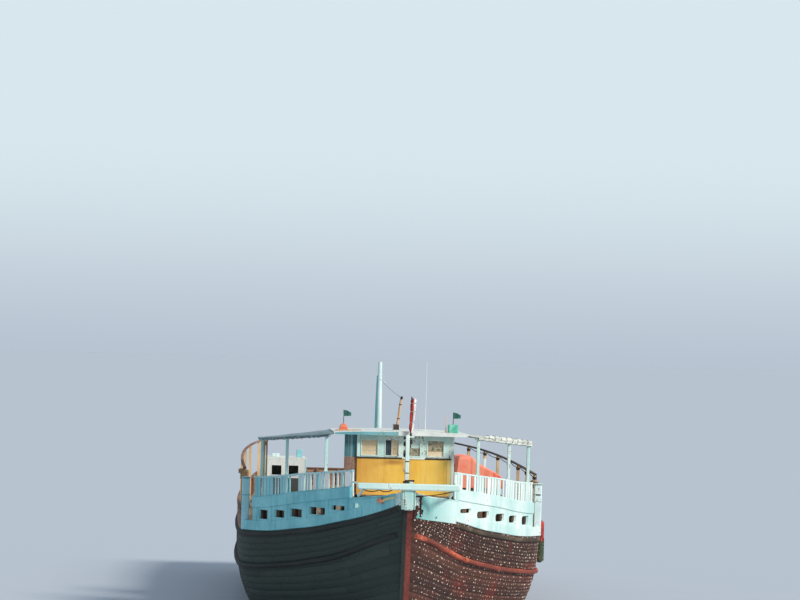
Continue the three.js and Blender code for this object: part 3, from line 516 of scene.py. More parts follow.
def hull_finish():
    """Oiled and sun-reddened planks to port; to starboard the same planks in painted shade, nearly black
    and grey-green.
    """
    finish = Finish("hull_planks", "hull_planking", 0.75)
    laid = finish.node("ShaderNodeUVMap", {"uv_map": "laid"})
    along = finish.part("X", laid)
    strake = finish.part("Y", laid).whole()
    length = (along + finish.speckle(strake) * 6.0) / PLANK_LENGTH
    own = finish.speckle(strake * 7.31 + length.whole())
    grain = finish.noise(1.4, (1, 9, 9), 5)
    weather = finish.noise(0.35, (1, 1, 1.6), 3)
    height = finish.part("Z")
    sun_worn = finish.ramp(
        own * 0.45 + grain * 0.4 + weather * 0.25 - 0.05,
        (0, tint(38, 24, 19)), (0.45, tint(64, 37, 29)), (0.75, tint(86, 50, 38)), (1, tint(120, 80, 62)),
    )
    # Painted shade: a dark grey-green copy of the planks, for the starboard side that stands in shade.
    shaded_starboard = finish.ramp(
        own * 0.3 + grain * 0.35 + weather * 0.35,
        (0, tint(33, 43, 38)), (0.5, tint(50, 62, 55)), (1, tint(70, 82, 71)),
    )
    red = finish.between(finish.noise(0.7, (1, 1, 1), 5, 0.6), 0.5, 0.66)
    forward = finish.between(finish.part("X"), BOW - STERN + 0.03, BOW - STERN + 0.08)
    side = 1 - forward * (1 - finish.between(finish.part("Y"), -0.12, 0.0))
    planks = finish.blend(shaded_starboard, finish.blend(sun_worn, tint(126, 38, 30), red * 0.5), side)
    edge = length.rest()
    butt = finish.between(edge, 0.0, 0.004) * (1 - finish.between(edge, 0.996, 1.0))
    planks = finish.blend(tint(24, 18, 16), planks, butt)
    bottom = finish.blend(tint(92, 46, 38), tint(70, 62, 48), finish.noise(0.8, (1, 1, 1), 5))
    wet = finish.between(height + finish.noise(0.6) * 0.12, 0.0, 0.16)
    scum = finish.blend(tint(58, 62, 44), planks, finish.between(height, 0.05, 0.45))
    return finish.surface(
        finish.blend(bottom, scum, wet), 0.62 + grain * 0.3, grain * 0.6 + butt * 0.4 + own * 0.3, 0.012
    )


TRANSOM_SEAM = 0.018

# The hull is one closed shell: both sides, the transom, and a plate under the deck planks
shares = (0.0, 0.05, 0.5, 0.95)
rows, sunk, strake_at = [], [], []
for k, (top, low) in enumerate(pairwise(STRAKE_EDGES)):
    for share in shares:
        rows.append(hull_row(top + (low - top) * share))
        sunk.append(SEAM if share == 0 else 0)
        strake_at.append(k + 0.5 * (0.02 + share))
rows.append(hull_row(1.0))
sunk.append(SEAM)
strake_at.append(len(STRAKE_EDGES) - 1.3)
grid = np.array(rows)
facing = np.cross(np.gradient(grid, axis=1), np.gradient(grid, axis=0))
facing /= np.maximum(np.linalg.norm(facing, axis=2, keepdims=True), 1e-9)
facing *= np.sign(facing[:, :, 1:2] + 1e-9)
grid = grid - facing * np.array(sunk)[:, None, None]
grid[:, :, 1] = np.maximum(grid[:, :, 1], KEEL_HALF - 0.01)
grid[np.array(sunk) > 0, -1, 0] -= TRANSOM_SEAM
height, width = grid.shape[:2]
corners = np.concatenate([grid.reshape(-1, 3), (grid * (1, -1, 1)).reshape(-1, 3)])
number = np.arange(len(corners)).reshape(2, height, width).tolist()
faces = []
for n in number:
    for i in range(height - 1):
        for j in range(width - 1):
            faces.append([n[i][j], n[i][j + 1], n[i + 1][j + 1], n[i + 1][j]])
port, starboard = number
for i in range(height - 1):
    for j in (0, width - 1):
        faces.append([port[i][j], port[i + 1][j], starboard[i + 1][j], starboard[i][j]])
for j in range(width - 1):
    for i in (0, height - 1):
        faces.append([port[i][j], port[i][j + 1], starboard[i][j + 1], starboard[i][j]])
mesh = bpy.data.meshes.new("hull_planks")
mesh.from_pydata(afloat(corners), [], faces)
laid = mesh.uv_layers.new(name="laid")
strake = np.tile(np.repeat(np.array(strake_at), width), 2)
loops = np.zeros(len(mesh.loops), np.int32)
mesh.loops.foreach_get("vertex_index", loops)
laid.data.foreach_set("uv", np.stack([corners[loops, 0], strake[loops]], axis=1).ravel().astype(np.float32))
settle(mesh, "hull_planks", hull_finish(), replaces=["hull"], crease=50)


# Plug heads: pale putty over the spikes that hold every plank to the frames, two to a frame, sparser
# and darker to starboard, where the darker colour is painted shade. One round head is set out over all the
# points.
class Growth(Net):
    """A node tree, with named inputs, that makes a mesh from a few points."""

    def __init__(self, name, **kinds):
        super().__init__(bpy.data.node_groups.new(name, "GeometryNodeTree"))
        sockets = self.tree.interface
        sockets.new_socket("Points", in_out="INPUT", socket_type="NodeSocketGeometry")
        for label, kind in {**kinds, "Finish": "Material"}.items():
            name = label.replace("_", " ")
            sockets.new_socket(name, in_out="INPUT", socket_type="NodeSocket" + kind)
        sockets.new_socket("Mesh", in_out="OUTPUT", socket_type="NodeSocketGeometry")
        self.start = self.tree.nodes.new("NodeGroupInput")

    def given(self, label):
        return Value(self, self.start.outputs[label])

    def own(self, name):
        return self.node("GeometryNodeInputNamedAttribute", {"data_type": "FLOAT_VECTOR"}, {"Name": name})

    def set_out(self, thing, turn, size):
        """Ends the tree with the thing on every point."""
        sockets = {"Points": self.given("Points"), "Instance": thing, "Rotation": turn, "Scale": size}
        instances = self.node("GeometryNodeInstanceOnPoints", sockets=sockets)
        return self.end(instances)

    def end(self, geometry):
        realized = self.node("GeometryNodeRealizeInstances", sockets={0: geometry})
        sockets = {"Geometry": realized, "Material": self.given("Finish")}
        finished = self.node("GeometryNodeSetMaterial", sockets=sockets)
        output = self.tree.nodes.new("NodeGroupOutput")
        self.tree.links.new(finished.socket, output.inputs[0])
        return self

    def run(self, points, finish, **values):
        """The mesh that the tree makes from a mesh of points."""
        holder = put("points", points)
        modifier = holder.modifiers.new("growth", "NODES")
        modifier.node_group = self.tree
        values["Finish"] = finish.material
        names = {item.name: item.identifier for item in self.tree.interface.items_tree}
        for label, value in values.items():
            modifier[names[label.replace("_", " ")]] = value
        return evaluated(holder)


def evaluated(made):
    """The plain mesh of an object with its modifiers, which is then gone."""
    graph = bpy.context.evaluated_depsgraph_get()
    mesh = bpy.data.meshes.new_from_object(made.evaluated_get(graph))
    bpy.data.objects.remove(made)
    return mesh


def points_mesh(places, edges=(), **attributes):
    """A mesh of loose points at (t, y, z) places that carry attributes."""
    mesh = bpy.data.meshes.new("points")
    mesh.from_pydata(afloat(places), edges, [])
    for name, values in attributes.items():
        values = np.array(values, np.float32)
        kind = ("FLOAT", "value") if values.ndim == 1 else ("FLOAT_VECTOR", "vector")
        mesh.attributes.new(name, kind[0], "POINT").data.foreach_set(kind[1], values.ravel())
    return mesh


def stud_growth():
    """Sets a low round head on each point, facing along the point's own direction."""
    growth = Growth("set_out_studs", Radius="Float", Height="Float", Spread="Float", Seed="Int")
    radius, height, spread = (growth.given(name) for name in ("Radius", "Height", "Spread"))
    sizes = {"Vertices": 6, "Radius Top": radius * 0.65, "Radius Bottom": radius, "Depth": height}
    head = growth.node("GeometryNodeMeshCone", sockets=sizes)
    sockets = {"Vector": growth.own("facing")}
    turn = growth.node("FunctionNodeAlignRotationToVector", {"axis": "Z"}, sockets)
    sockets = {2: 1 - spread, 3: 1 + spread, 8: growth.given("Seed")}
    return growth.set_out(head, turn, growth.node("FunctionNodeRandomValue", sockets=sockets, take=1))


STUDS = stud_growth()
PLUG = {"pitch": 0.14, "radius": 0.025, "height": 0.008, "rows": (0.24, 0.74), "sunk": 0.003}
PLUG_WANDER = {"along": 0.05, "up": 0.018}
PLUG_DROP = {1: 0.06, -1: 0.7}  # share left out on each side, most to starboard, where few heads show in the painted shade


def hull_facing(t, z):
    """The way the hull's port side faces at a height, as x, y, z."""
    step = 0.05
    along = (hull_half(t + step, z) - hull_half(t - step, z)) / (2 * step)
    up = (hull_half(t, z + step) - hull_half(t, z - step)) / (2 * step)
    facing = np.stack([along, np.ones_like(along), -up], axis=-1)
    return facing / np.linalg.norm(facing, axis=-1, keepdims=True)


def plug_finish():
    finish = Finish("plug_putty", "hull_planking", 0.85)
    own = finish.noise(6.0, detail=1)
    pale = finish.ramp(
        own, (0.36, tint(112, 76, 62)), (0.5, tint(170, 138, 120)), (0.63, tint(236, 220, 200))
    )
    # Painted shade: the heads on the starboard side are dark, as that side stands in shade.
    shaded_heads = finish.ramp(own, (0.5, tint(40, 46, 44)), (0.76, tint(78, 84, 80)))
    return finish.surface(finish.blend(shaded_heads, pale, finish.between(finish.part("Y"), -0.1, 0.1)))


chance = np.random.default_rng(11)
places, facings = [], []
for top, low in pairwise(STRAKE_EDGES):
    for share in PLUG["rows"]:
        place = top + (low - top) * share
        start = first_t(place) + 0.08 + chance.uniform(0, PLUG["pitch"])
        even = np.arange(start, STERN - 0.1, PLUG["pitch"])
        strayed = even + chance.uniform(-1, 1, len(even)) * PLUG_WANDER["along"]
        level = strake_z(place, strayed) + chance.uniform(-1, 1, len(even)) * PLUG_WANDER["up"]
        for _, side in SIDES:
            keep = (level > -0.2) & (chance.random(len(even)) > PLUG_DROP[side])
            t, z = strayed[keep], level[keep]
            places.append(np.stack([t, side * (hull_half(t, z) - PLUG["sunk"]), z], axis=1))
            facings.append(hull_facing(t, z) * (1, side, 1))
points = points_mesh(np.concatenate(places), facing=np.concatenate(facings))
putty = plug_finish()
mesh = STUDS.run(points, putty, Radius=PLUG["radius"], Height=PLUG["height"], Spread=0.4, Seed=5)
settle(mesh, "plank_plugs", putty)


# Stem, keel, sternpost and rudder: heavy squared timbers, oiled like the planks, bolted together.
def timber(name, slot, dark, middle, light, grain=(1, 9, 9), roughness=0.8, depth=0.006):
    """Bare or oiled wood. The piece's tone makes one board lighter or darker than the next."""
    finish = Finish(name, slot, roughness)
    fibre = finish.noise(2.0, grain, 5, 0.62)
    patch = finish.noise(0.8, detail=3)
    shade = fibre * 0.55 + patch * 0.45 + finish.own("tone") * 0.35
    wood = finish.ramp(shade, (0.3, dark), (0.5, middle), (0.72, light))
    stain = finish.between(finish.noise(1.7, (1.5, 1.5, 0.6), 4), 0.58, 0.75)
    return finish.surface(finish.blend(wood, dark, stain * 0.5), 0.65 + patch * 0.3, fibre, depth)


def dress(finish, *names):
    """Gives solids that keep their shape their finish."""
    for name in names:
        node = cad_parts[name]
        node.data.materials.clear()
        node.data.materials.append(finish.material)


STEM_WOOD = timber(
    "stem_wood", "oiled_timber", tint(58, 26, 22), tint(104, 46, 38), tint(142, 76, 60), (6, 6, 1)
)
KEEL_WOOD = timber("keel_wood", "oiled_timber", tint(48, 30, 26), tint(86, 46, 38), tint(112, 70, 56))
dress(STEM_WOOD, "sternpost", "rudder")
dress(KEEL_WOOD, "keel")


# Wales and rubbing strakes: thick rounded timbers spiked outside the planks, one below the ports and
# one under the sheer, each scarfed from several lengths.
def strake_wood(name, slot, port, starboard, change=(-0.1, 0.1), wear=0.35):
    """Rubbed wood, redder to port, and to starboard darkened as painted shade."""
    finish = Finish(name, slot, 0.7)
    fibre = finish.noise(2.0, (1, 8, 8), 5, 0.6)
    worn = finish.between(finish.noise(0.6, detail=3), 0.48, 0.64)
    lit = finish.ramp(fibre * 0.7 + worn * wear, *port)
    shaded_starboard = finish.ramp(fibre * 0.7 + worn * 0.2, *starboard)
    colour = finish.blend(shaded_starboard, lit, finish.between(finish.part("Y"), *change))
    return finish.surface(colour, 0.55 + fibre * 0.35, fibre, 0.008)


# Painted shade: the near-black ramp that the wales, rub rails and stem faces take to starboard, the side in
# shade.
STARBOARD_SHADE_RAMP = ((0.25, tint(24, 28, 27)), (0.6, tint(44, 48, 45)), (0.95, tint(84, 72, 62)))
WORN_RED = (
    (0.25, tint(104, 50, 40)), (0.45, tint(146, 70, 52)), (0.66, tint(196, 92, 62)),
    (0.9, tint(240, 184, 146)),
)
DULL_BROWN = ((0.25, tint(52, 42, 32)), (0.5, tint(80, 66, 50)), (0.85, tint(126, 114, 90)))
OILED_RED = ((0.25, tint(90, 38, 31)), (0.5, tint(134, 60, 48)), (0.85, tint(174, 100, 80)))
WALE_WOOD = strake_wood("wale_wood", "strake_timber", WORN_RED, STARBOARD_SHADE_RAMP)
RUB_WOOD = strake_wood("rub_rail_wood", "strake_timber", DULL_BROWN, STARBOARD_SHADE_RAMP)
STEM_FACES = strake_wood("stem_timber", "oiled_timber", OILED_RED, STARBOARD_SHADE_RAMP, (-0.04, 0), 0.15)
dress(STEM_FACES, "stem")
WALE = {"start": 0.62, "out": 0.116, "height": 0.16, "bolt": 1.1}
RUB = {"start": {"port": 2.29, "starboard": 0.34}, "out": 0.07, "low": 0.19, "top": 0.05}
STRAKE_STEPS = 110
ROUNDED = (  # reach and rise of a strake's section, as shares
    (-0.04, 0.0), (0.45, 0.0), (0.82, 0.1), (1.0, 0.33),
    (1.0, 0.67), (0.82, 0.9), (0.45, 1.0), (-0.04, 1.0),
)


def round_strake(side, start, out, low, top):
    """A strake with a rounded outer face, laid on the hull and let a little into it."""
    rings = []
    for t in np.linspace(start, STERN, STRAKE_STEPS + 1):
        a, b = low(t), top(t)
        middle = hull_half(t, (a + b) / 2)
        ring = []
        for reach, rise in ROUNDED:
            z = a + (b - a) * rise
            base = hull_half(t, z) if reach < 0.1 else middle
            ring.append((t, side * (base + out * reach), z))
        rings.append(ring)
    return Shape().loft(rings)


def iron_finish():
    finish = Finish("black_iron", "black_iron", 0.55)
    rust = finish.between(finish.noise(7, detail=5), 0.5, 0.66)
    finish.set("Metallic", 0.7 - rust * 0.7)
    colour = finish.blend(tint(38, 38, 40), tint(104, 58, 38), rust)
    return finish.surface(colour, 0.5 + rust * 0.4, rust, 0.002)


IRON = iron_finish()
BOLT = {"radius": 0.032, "height": 0.012, "sunk": 0.009, "stem_pitch": 0.42}
STEM_LINE = ((-1.6, 3.2), (-1, 2.15), (0, 1.47), (1.2, 1.0), (3, 0.48), (4.08, 0.2))  # z, t of the bolts

for name, side in SIDES:
    wale = round_strake(side, WALE["start"], WALE["out"], wale_height - WALE["height"], wale_height)
    wale.piece("wale_timber_" + name, WALE_WOOD, replaces=["wale_" + name], crease=60)
    rub = round_strake(side, RUB["start"][name], RUB["out"], sheer - RUB["low"], sheer - RUB["top"])
    rub.piece("rub_rail_timber_" + name, RUB_WOOD, replaces=["rub_rail_" + name], crease=60)

# Bolt heads along both strakes, and on the faces of the stem
places, facings = [], []
for _, side in SIDES:
    t = np.arange(WALE["start"] + 0.5, STERN - 0.4, WALE["bolt"])
    for z, out in (
        (wale_height(t) - WALE["height"] / 2, WALE["out"]),
        (sheer(t) - (RUB["low"] + RUB["top"]) / 2, RUB["out"]),
    ):
        places.append(np.stack([t, side * (hull_half(t, z) + out - BOLT["sunk"]), z], axis=1))
        facings.append(hull_facing(t, z) * (1, side, 0))
    z = np.arange(-1.4, 4.0, BOLT["stem_pitch"])
    t = np.interp(z, *zip(*STEM_LINE))
    places.append(np.stack([t, np.full_like(t, side * (KEEL_HALF + 0.003)), z], axis=1))
    facings.append(np.tile([0, side, 0], (len(t), 1)))
points = points_mesh(np.concatenate(places), facing=np.concatenate(facings))
mesh = STUDS.run(points, IRON, Radius=BOLT["radius"], Height=BOLT["height"], Spread=0.1, Seed=2)
settle(mesh, "strake_bolts", IRON)


# Main deck: fore-and-aft planks between waterways, caulked with black seams, scrubbed grey.
PLANK = 0.08  # thickness of bulwarks and walls
MAIN_DECK = {"plank": 0.17, "lift": 0.012, "seam": 0.006, "length": 5.4, "waterway": 0.16}
DECK_WOOD = timber(
    "deck_wood", "deck_timber", tint(92, 80, 66), tint(146, 130, 108), tint(184, 168, 144),
    (1, 12, 12), 0.9, 0.004,
)

chance = np.random.default_rng(3)
deck = Shape()
count = int(breadth(14.0) / MAIN_DECK["plank"])
for i in range(-count, count + 1):
    middle, half = i * MAIN_DECK["plank"], MAIN_DECK["plank"] / 2
    y0, y1 = middle + MAIN_DECK["seam"] - half, middle - MAIN_DECK["seam"] + half
    reach = max(abs(y0), abs(y1)) + PLANK + MAIN_DECK["waterway"]
    t = np.linspace(0.4, STERN - PLANK, 600)
    inside = t[breadth(t) > reach]
    if len(inside) < 2:
        continue
    butts = np.arange(inside[0] + chance.uniform(1, 5), inside[-1] - 0.8, MAIN_DECK["length"])
    for a, b in pairwise([inside[0], *butts, inside[-1]]):
        rings = []
        for s in np.linspace(a + 0.004, b - 0.004, max(2, int((b - a) / 0.9) + 1)):
            low, top = sheer(s) - 0.02, sheer(s) + MAIN_DECK["lift"]
            rings.append([(s, y0, low), (s, y0, top), (s, y1, top), (s, y1, low)])
        deck.loft(rings, tone=chance.uniform(-0.5, 0.5))
for _, side in SIDES:
    deck.strip(
        side, (0.5, STERN - PLANK), breadth - PLANK - 0.001, breadth - PLANK - 0.17,
        sheer - 0.02, sheer + MAIN_DECK["lift"] + 0.012, steps=70,
    )
deck.piece("deck_planks", DECK_WOOD, crease=30)


# Bulwarks at the bow: painted planks that stand on the sheer, with a capping rail along the top and
# a butt strap where the bow panel meets the side wall.
# Painted light: TEAL is the turquoise as painted shade on the starboard side, MINT the same paint as
# painted sunlight to port.
TEAL = (tint(108, 184, 194), tint(144, 214, 220))
MINT = (tint(184, 221, 216), tint(231, 242, 236))
BARE = tint(120, 96, 74)
GRIME = tint(84, 80, 68)


def painted(
    name, fresh, faded, slot="turquoise_paint", under=BARE, port=None, change=(-1.9, 0.2), chipped=0.63,
    second=None, shade_mark=None,
):
    """Brushed oil paint, faded in patches, with dirt run down it and chips down to the wood.
    Port colours, where given, are its painted sunlit copy, changed over to across the ship; the first are
    its painted shaded copy. The piece's tone mixes in the second colour; a shade mark lays painted shade
    over it."""
    finish = Finish(name, slot, 0.55)
    patch = finish.noise(0.9, detail=4)
    runs = finish.noise(3.2, (1.6, 1.6, 0.22), 5, 0.65)
    fine = finish.noise(21, detail=3)
    fade = finish.between(patch * 0.6 + runs * 0.4, 0.38, 0.64)
    paint = finish.blend(fresh, faded, fade)
    if port:
        side = finish.between(finish.part("Y"), *change)
        paint = finish.blend(paint, finish.blend(port[0], port[1], fade), side)
    if second:
        paint = finish.blend(paint, second, finish.own("tone"))
    paint = finish.blend(paint, GRIME, finish.between(runs, 0.56, 0.8) * 0.35)
    if shade_mark:
        where, stain, strength = shade_mark
        paint = finish.blend(paint, stain, where(finish) * strength)
    chip = finish.between(fine * 0.45 + patch * 0.25 + runs * 0.3, chipped - 0.03, chipped)
    colour = finish.blend(paint, under, chip)
    return finish.surface(
        colour, 0.45 + patch * 0.25 + chip * 0.3, runs * 0.35 + fine * 0.15 - chip * 0.5, 0.005
    )


TURQUOISE = painted("turquoise_paint", *TEAL, port=MINT, change=(-0.7, 0.1), second=tint(242, 246, 240))
bow_cap = line((0.25, 4.62), (0.7, 4.48), (1.6, 4.38), (2.25, 4.31), (30, 4.29))
fascia_low = line((0.25, 4.6), (2.25, 4.35), (4.57, 4.05), (7.6, 3.7), (30, 3.6))
fascia_top = line((0.25, 4.95), (2.25, 4.69), (4.57, 4.405), (7.6, 4.07), (30, 3.97))
rail_top = line((0.25, 5.48), (2.25, 5.26), (4.57, 5.03), (7.6, 4.77), (30, 4.7))
BOW_WALL = {
    "start": 0.45, "end": 2.25, "cap": 0.04, "lip": 0.03, "panel": 0.025, "posts": (0.75, 1.15, 1.6, 2.0),
}
bow_panel_low = line((0.45, 3.83), (0.7, 3.76), (1.5, 3.66), (2.2, 3.57), (2.3, 3.55))
BOW_PORT = (2.03, 0.34, 4.02, 4.17)  # t of the middle, length, bottom, top
PORT_SHRINK = {1: (0.94, 0.95), -1: (1.0, 1.0)}  # share of length and height kept, by side
PORT_CORNER = {1: 0.085, -1: 0.015}


def rounded_port(t, length, low, top, side):
    """A cutter through the side wall: an upright slot with rounded corners."""
    keep, tall = PORT_SHRINK[side]
    half, rise = length * keep / 2, (top - low) * tall / 2
    corner = min(PORT_CORNER[side], half * 0.6, rise * 0.8)
    middle = (low + top) / 2
    outline = []
    for x, z, start in ((half, rise, 0), (-half, rise, 90), (-half, -rise, 180), (half, -rise, 270)):
        for turn in np.radians(start + np.array([0, 30, 60, 90])):
            cx, cz = x - math.copysign(corner, x), z - math.copysign(corner, z)
            outline.append((cx + corner * math.cos(turn), cz + corner * math.sin(turn)))
    return [
        [(t + x, side * (breadth(t + x) + reach), middle + z) for x, z in outline] for reach in (-0.3, 0.2)
    ]


def cut_mesh(shape, cutters):
    """A shape with other shapes cut out of it, as a mesh."""
    whole, tool = (put("cut", made.mesh("cut")) for made in (shape, cutters))
    for part in (whole, tool):
        face_outwards(part.data)
    modifier = whole.modifiers.new("cut", "BOOLEAN")
    modifier.operation = "DIFFERENCE"
    modifier.solver = "EXACT"
    modifier.object = tool
    mesh = evaluated(whole)
    bpy.data.objects.remove(tool)
    return mesh


for name, side in SIDES:
    span = (BOW_WALL["start"], BOW_WALL["end"])
    wall = Shape().strip(side, span, breadth, breadth - PLANK, sheer + 0.002, bow_cap, steps=30)
    mesh = cut_mesh(wall, Shape().loft(rounded_port(*BOW_PORT, -1)))
    settle(mesh, "bow_bulwark_planks_" + name, TURQUOISE, replaces=["bow_bulwark_" + name])
    trim = Shape()
    trim.strip(
        side, (span[0], span[1] + 0.1), breadth + BOW_WALL["lip"], breadth - PLANK - 0.05,
        bow_cap - 0.002, bow_cap + BOW_WALL["cap"], steps=30,
    )
    for t in BOW_WALL["posts"]:
        inner = breadth(t) - PLANK
        trim.beam((t, side * (inner - 0.05), sheer(t)), (t, side * (inner - 0.03), bow_cap(t)), 0.09, 0.09)
    trim.piece("bow_bulwark_cap_" + name, TURQUOISE)

# To port a doubling plank covers the bulwark and the top strakes, from the stem to its joint. It pales aft
# of the stem as painted light, where its curve turns towards the sun.
PANEL_START = 0.42
rings = []
for t in np.linspace(PANEL_START, BOW_WALL["end"] + 0.02, 26):
    ring = []
    for z in np.linspace(bow_panel_low(t), bow_cap(t) - 0.006, 6):
        ring.append((t, hull_half(t, min(z, sheer(t))) + BOW_WALL["panel"], z))
    rings.append(ring + [(t, y - BOW_WALL["panel"] - 0.02, z) for t, y, z in reversed(ring)])
sunlit_share = [min(1, 0.85 * (point[0] - PANEL_START) / 1.5) for ring in rings for point in ring]
paint = painted("bow_panel_paint", tint(104, 178, 170), tint(140, 202, 194), second=tint(212, 236, 232))
Shape().loft(rings, sunlit_share).piece("bow_panel_port", paint)


# Side walls under the raised foredeck: painted planks with five ports cut through them, square and
# framed by posts to starboard, smaller and rounded to port, with the ship's ribs behind.
PORTS = (  # t of the middle, length, bottom, top
    (2.9, 0.73, 3.89, 4.04), (3.95, 0.77, 3.68, 3.92), (5.03, 0.66, 3.53, 3.8),
    (5.97, 0.58, 3.45, 3.7), (6.9, 0.56, 3.34, 3.65),
)
WALL = {"start": 2.25, "end": 7.6, "foot_end": 8.3, "step": 0.35, "rib": 0.47, "post": 0.07}
# Painted shade: the ribs' wood is dark, for the shade inside the ports.
INSIDE_WOOD = timber(
    "inside_timber", "bulwark_timber", tint(44, 34, 28), tint(80, 63, 50), tint(112, 91, 72), (8, 8, 1)
)


def board_growth():
    """Sets a board on each point, with the point's own size and turn."""
    growth = Growth("set_out_boards", Board="Object")
    sockets = {"Object": growth.given("Board")}
    settings = {"transform_space": "ORIGINAL"}
    board = growth.node("GeometryNodeObjectInfo", settings, sockets, take="Geometry")
    turn = growth.node("FunctionNodeEulerToRotation", sockets={0: growth.own("turn")})
    return growth.set_out(board, turn, growth.own("size"))


BOARDS = board_growth()


def set_out_boards(name, rows, finish, **settings):
    """Boards given as rows of (t, y, z, length along, thickness, height, turn about the upright, tone)."""
    rows = np.array(rows, float)
    turn = np.zeros((len(rows), 3))
    turn[:, 2] = rows[:, 6]
    points = points_mesh(rows[:, :3], size=rows[:, 3:6], turn=turn, tone=rows[:, 7])
    unit = Shape().box((-0.5, 0.5), (-0.5, 0.5), (-0.5, 0.5), 0.08)
    mesh = bpy.data.meshes.new("unit_board")
    mesh.from_pydata(np.concatenate(unit.corners), [], unit.faces)
    board = put("unit_board", mesh)
    mesh = BOARDS.run(points, finish, Board=board)
    bpy.data.objects.remove(board)
    return settle(mesh, name, finish, **settings)


def heading(t, side):
    """Turn about the upright of a board that lies along the ship's side."""
    return -side * math.atan((breadth(t + 0.05) - breadth(t - 0.05)) / 0.1)


for name, side in SIDES:
    span = (WALL["start"] + 0.001, WALL["end"])
    wall = Shape().strip(
        side, span, breadth, breadth - PLANK, sheer + 0.002, fascia_low - 0.001, steps=70, ease=0.004
    )
    cutters = Shape()
    for port in PORTS:
        cutters.loft(rounded_port(*port, side))
    mesh = cut_mesh(wall, cutters)
    settle(mesh, "side_wall_planks_" + name, TURQUOISE, replaces=["side_wall_" + name], crease=30)
    span = (BOW_WALL["end"] - (0.5 if side < 0 else 0), WALL["foot_end"] - 0.001)
    foot = Shape().strip(
        side, span, breadth + 0.03, breadth - PLANK + 0.001,
        sheer + 0.003, sheer + WALL["step"] - 0.02, steps=60, ease=0.012,
    )
    foot.piece("side_wall_foot_" + name, TURQUOISE)

# Posts between the ports, outside the starboard wall
posts = Shape()
middles = [BOW_PORT[0]] + [t for t, *_ in PORTS] + [WALL["end"] + 0.12]
for before, after in pairwise(middles):
    t = (before + after) / 2 + 0.02
    posts.strip(
        -1, (t - WALL["post"], t + WALL["post"]), breadth + 0.035, breadth - 0.002,
        sheer + WALL["step"] - 0.03, fascia_low - 0.004, steps=1, ease=0.008,
    )
posts.piece("port_posts_starboard", TURQUOISE)

# The ship's ribs behind the walls
rows = []
chance = np.random.default_rng(8)
for _, side in SIDES:
    for t in np.arange(WALL["start"] + 0.2, WALL["end"], WALL["rib"]):
        low, top = sheer(t) + 0.01, fascia_low(t) - 0.03
        size = (chance.uniform(0.1, 0.16), 0.13, top - low)
        place = (t, side * (breadth(t) - PLANK - 0.075), (low + top) / 2)
        rows.append((*place, *size, heading(t, side), chance.uniform(-0.3, 0.6)))
set_out_boards("side_wall_ribs", rows, INSIDE_WOOD)


# Fascias: one smooth wide plank along each edge of the foredeck, that the balustrade stands on.
FOREDECK = {"start": 2.3, "end": 7.6}

for name, side in SIDES:
    plank = Shape().strip(
        side, (FOREDECK["start"], FOREDECK["end"]), breadth + 0.04, breadth - 0.06,
        fascia_low, fascia_top, ease=0.012, steps=50,
    )
    plank.piece("fascia_plank_" + name, TURQUOISE, replaces=["fascia_" + name])


# Balustrades: boards of mixed widths nailed between a foot rail and a top rail, most of them painted,
# some white or bare, with a wide white board at the forward end and one place where they are gone.
RAIL = {"inset": 0.01, "wide": 0.09, "thick": 0.06, "foot": 0.04, "board": 0.03, "post": 0.04}
BALUSTERS = {  # t of both edges of each board, and how white it is
    "starboard": (
        (7.12, 7.51, 0.05), (6.94, 7.04, 0.1), (6.38, 6.93, 0.1), (6.23, 6.3, 0.2), (6.08, 6.15, 0.4),
        (5.58, 6.01, 0.15), (5.4, 5.5, 0.1), (4.63, 4.96, 0.45), (4.47, 4.53, 0.9), (4.37, 4.45, 0.2),
        (4.29, 4.35, 1), (4.12, 4.2, 0.9), (4.04, 4.1, 1), (3.95, 4.02, 0.1), (3.66, 3.92, 0.55),
        (3.42, 3.65, 0.9), (3.19, 3.28, 0.95), (2.99, 3.08, 0.8), (2.74, 2.88, 0.2), (2.35, 2.7, 1),
    ),
    "port": (
        (2.35, 2.71, 0.5), (2.94, 3.07, 1), (3.09, 3.21, 0.3), (3.4, 3.54, 0.8), (3.55, 3.97, 0.35),
        (4.05, 4.13, 0.3), (4.19, 4.42, 1), (4.44, 4.79, 0.4), (4.82, 5.06, 0.2), (5.21, 5.3, 0.3),
        (5.42, 5.75, 0.3), (5.77, 6.1, 0.5), (6.15, 6.31, 0.4), (6.37, 6.5, 0.2), (6.54, 6.86, 0.4),
        (6.89, 7.33, 0.3), (7.35, 7.53, 0.5),
    ),
}
BOARD_WIDEST = 0.2  # wider stretches are made of several boards

rail_outer = breadth - RAIL["inset"]
rail_inner = rail_outer - RAIL["wide"]

chance = np.random.default_rng(21)
for name, side in SIDES:
    rails = Shape()
    start, end = FOREDECK["start"], FOREDECK["end"]
    rails.strip(
        side, (start, end), rail_outer, rail_inner, fascia_top + 0.001, fascia_top + RAIL["foot"], steps=50
    )
    rails.strip(
        side, (start, end), rail_outer, rail_inner, rail_top - RAIL["thick"], rail_top,
        steps=50, ease=0.015, tone=0.3,
    )
    for t, white in ((start + 0.05, 0.85), (4.0, 0), (5.8, 0), (end - 0.05, 0)):
        rails.strip(
            side, (t - RAIL["post"], t + RAIL["post"]), rail_inner + 0.05, rail_inner,
            fascia_top + 0.02, rail_top - 0.02, steps=1, tone=white,
        )
    rails.piece("balustrade_rails_" + name, TURQUOISE, replaces=["balustrade_" + name])
    rows = []
    for start, end, white in BALUSTERS[name]:
        count = 1 if white == 1 else math.ceil((end - start) / BOARD_WIDEST)
        wide = (end - start) / count
        for i in range(count):
            t = start + wide * (i + 0.5)
            low = fascia_top(t) + RAIL["foot"] - 0.03 * chance.random()
            top = rail_top(t) - RAIL["thick"] + 0.03 * chance.random()
            y = side * (rail_outer(t) - RAIL["board"] / 2 - 0.004 * chance.random() - 0.001)
            tone = white + chance.uniform(-0.12, 0.12)
            size = (wide - 0.008, RAIL["board"], top - low)
            rows.append((t, y, (low + top) / 2, *size, heading(t, side), tone))
    set_out_boards("balustrade_boards_" + name, rows, TURQUOISE)


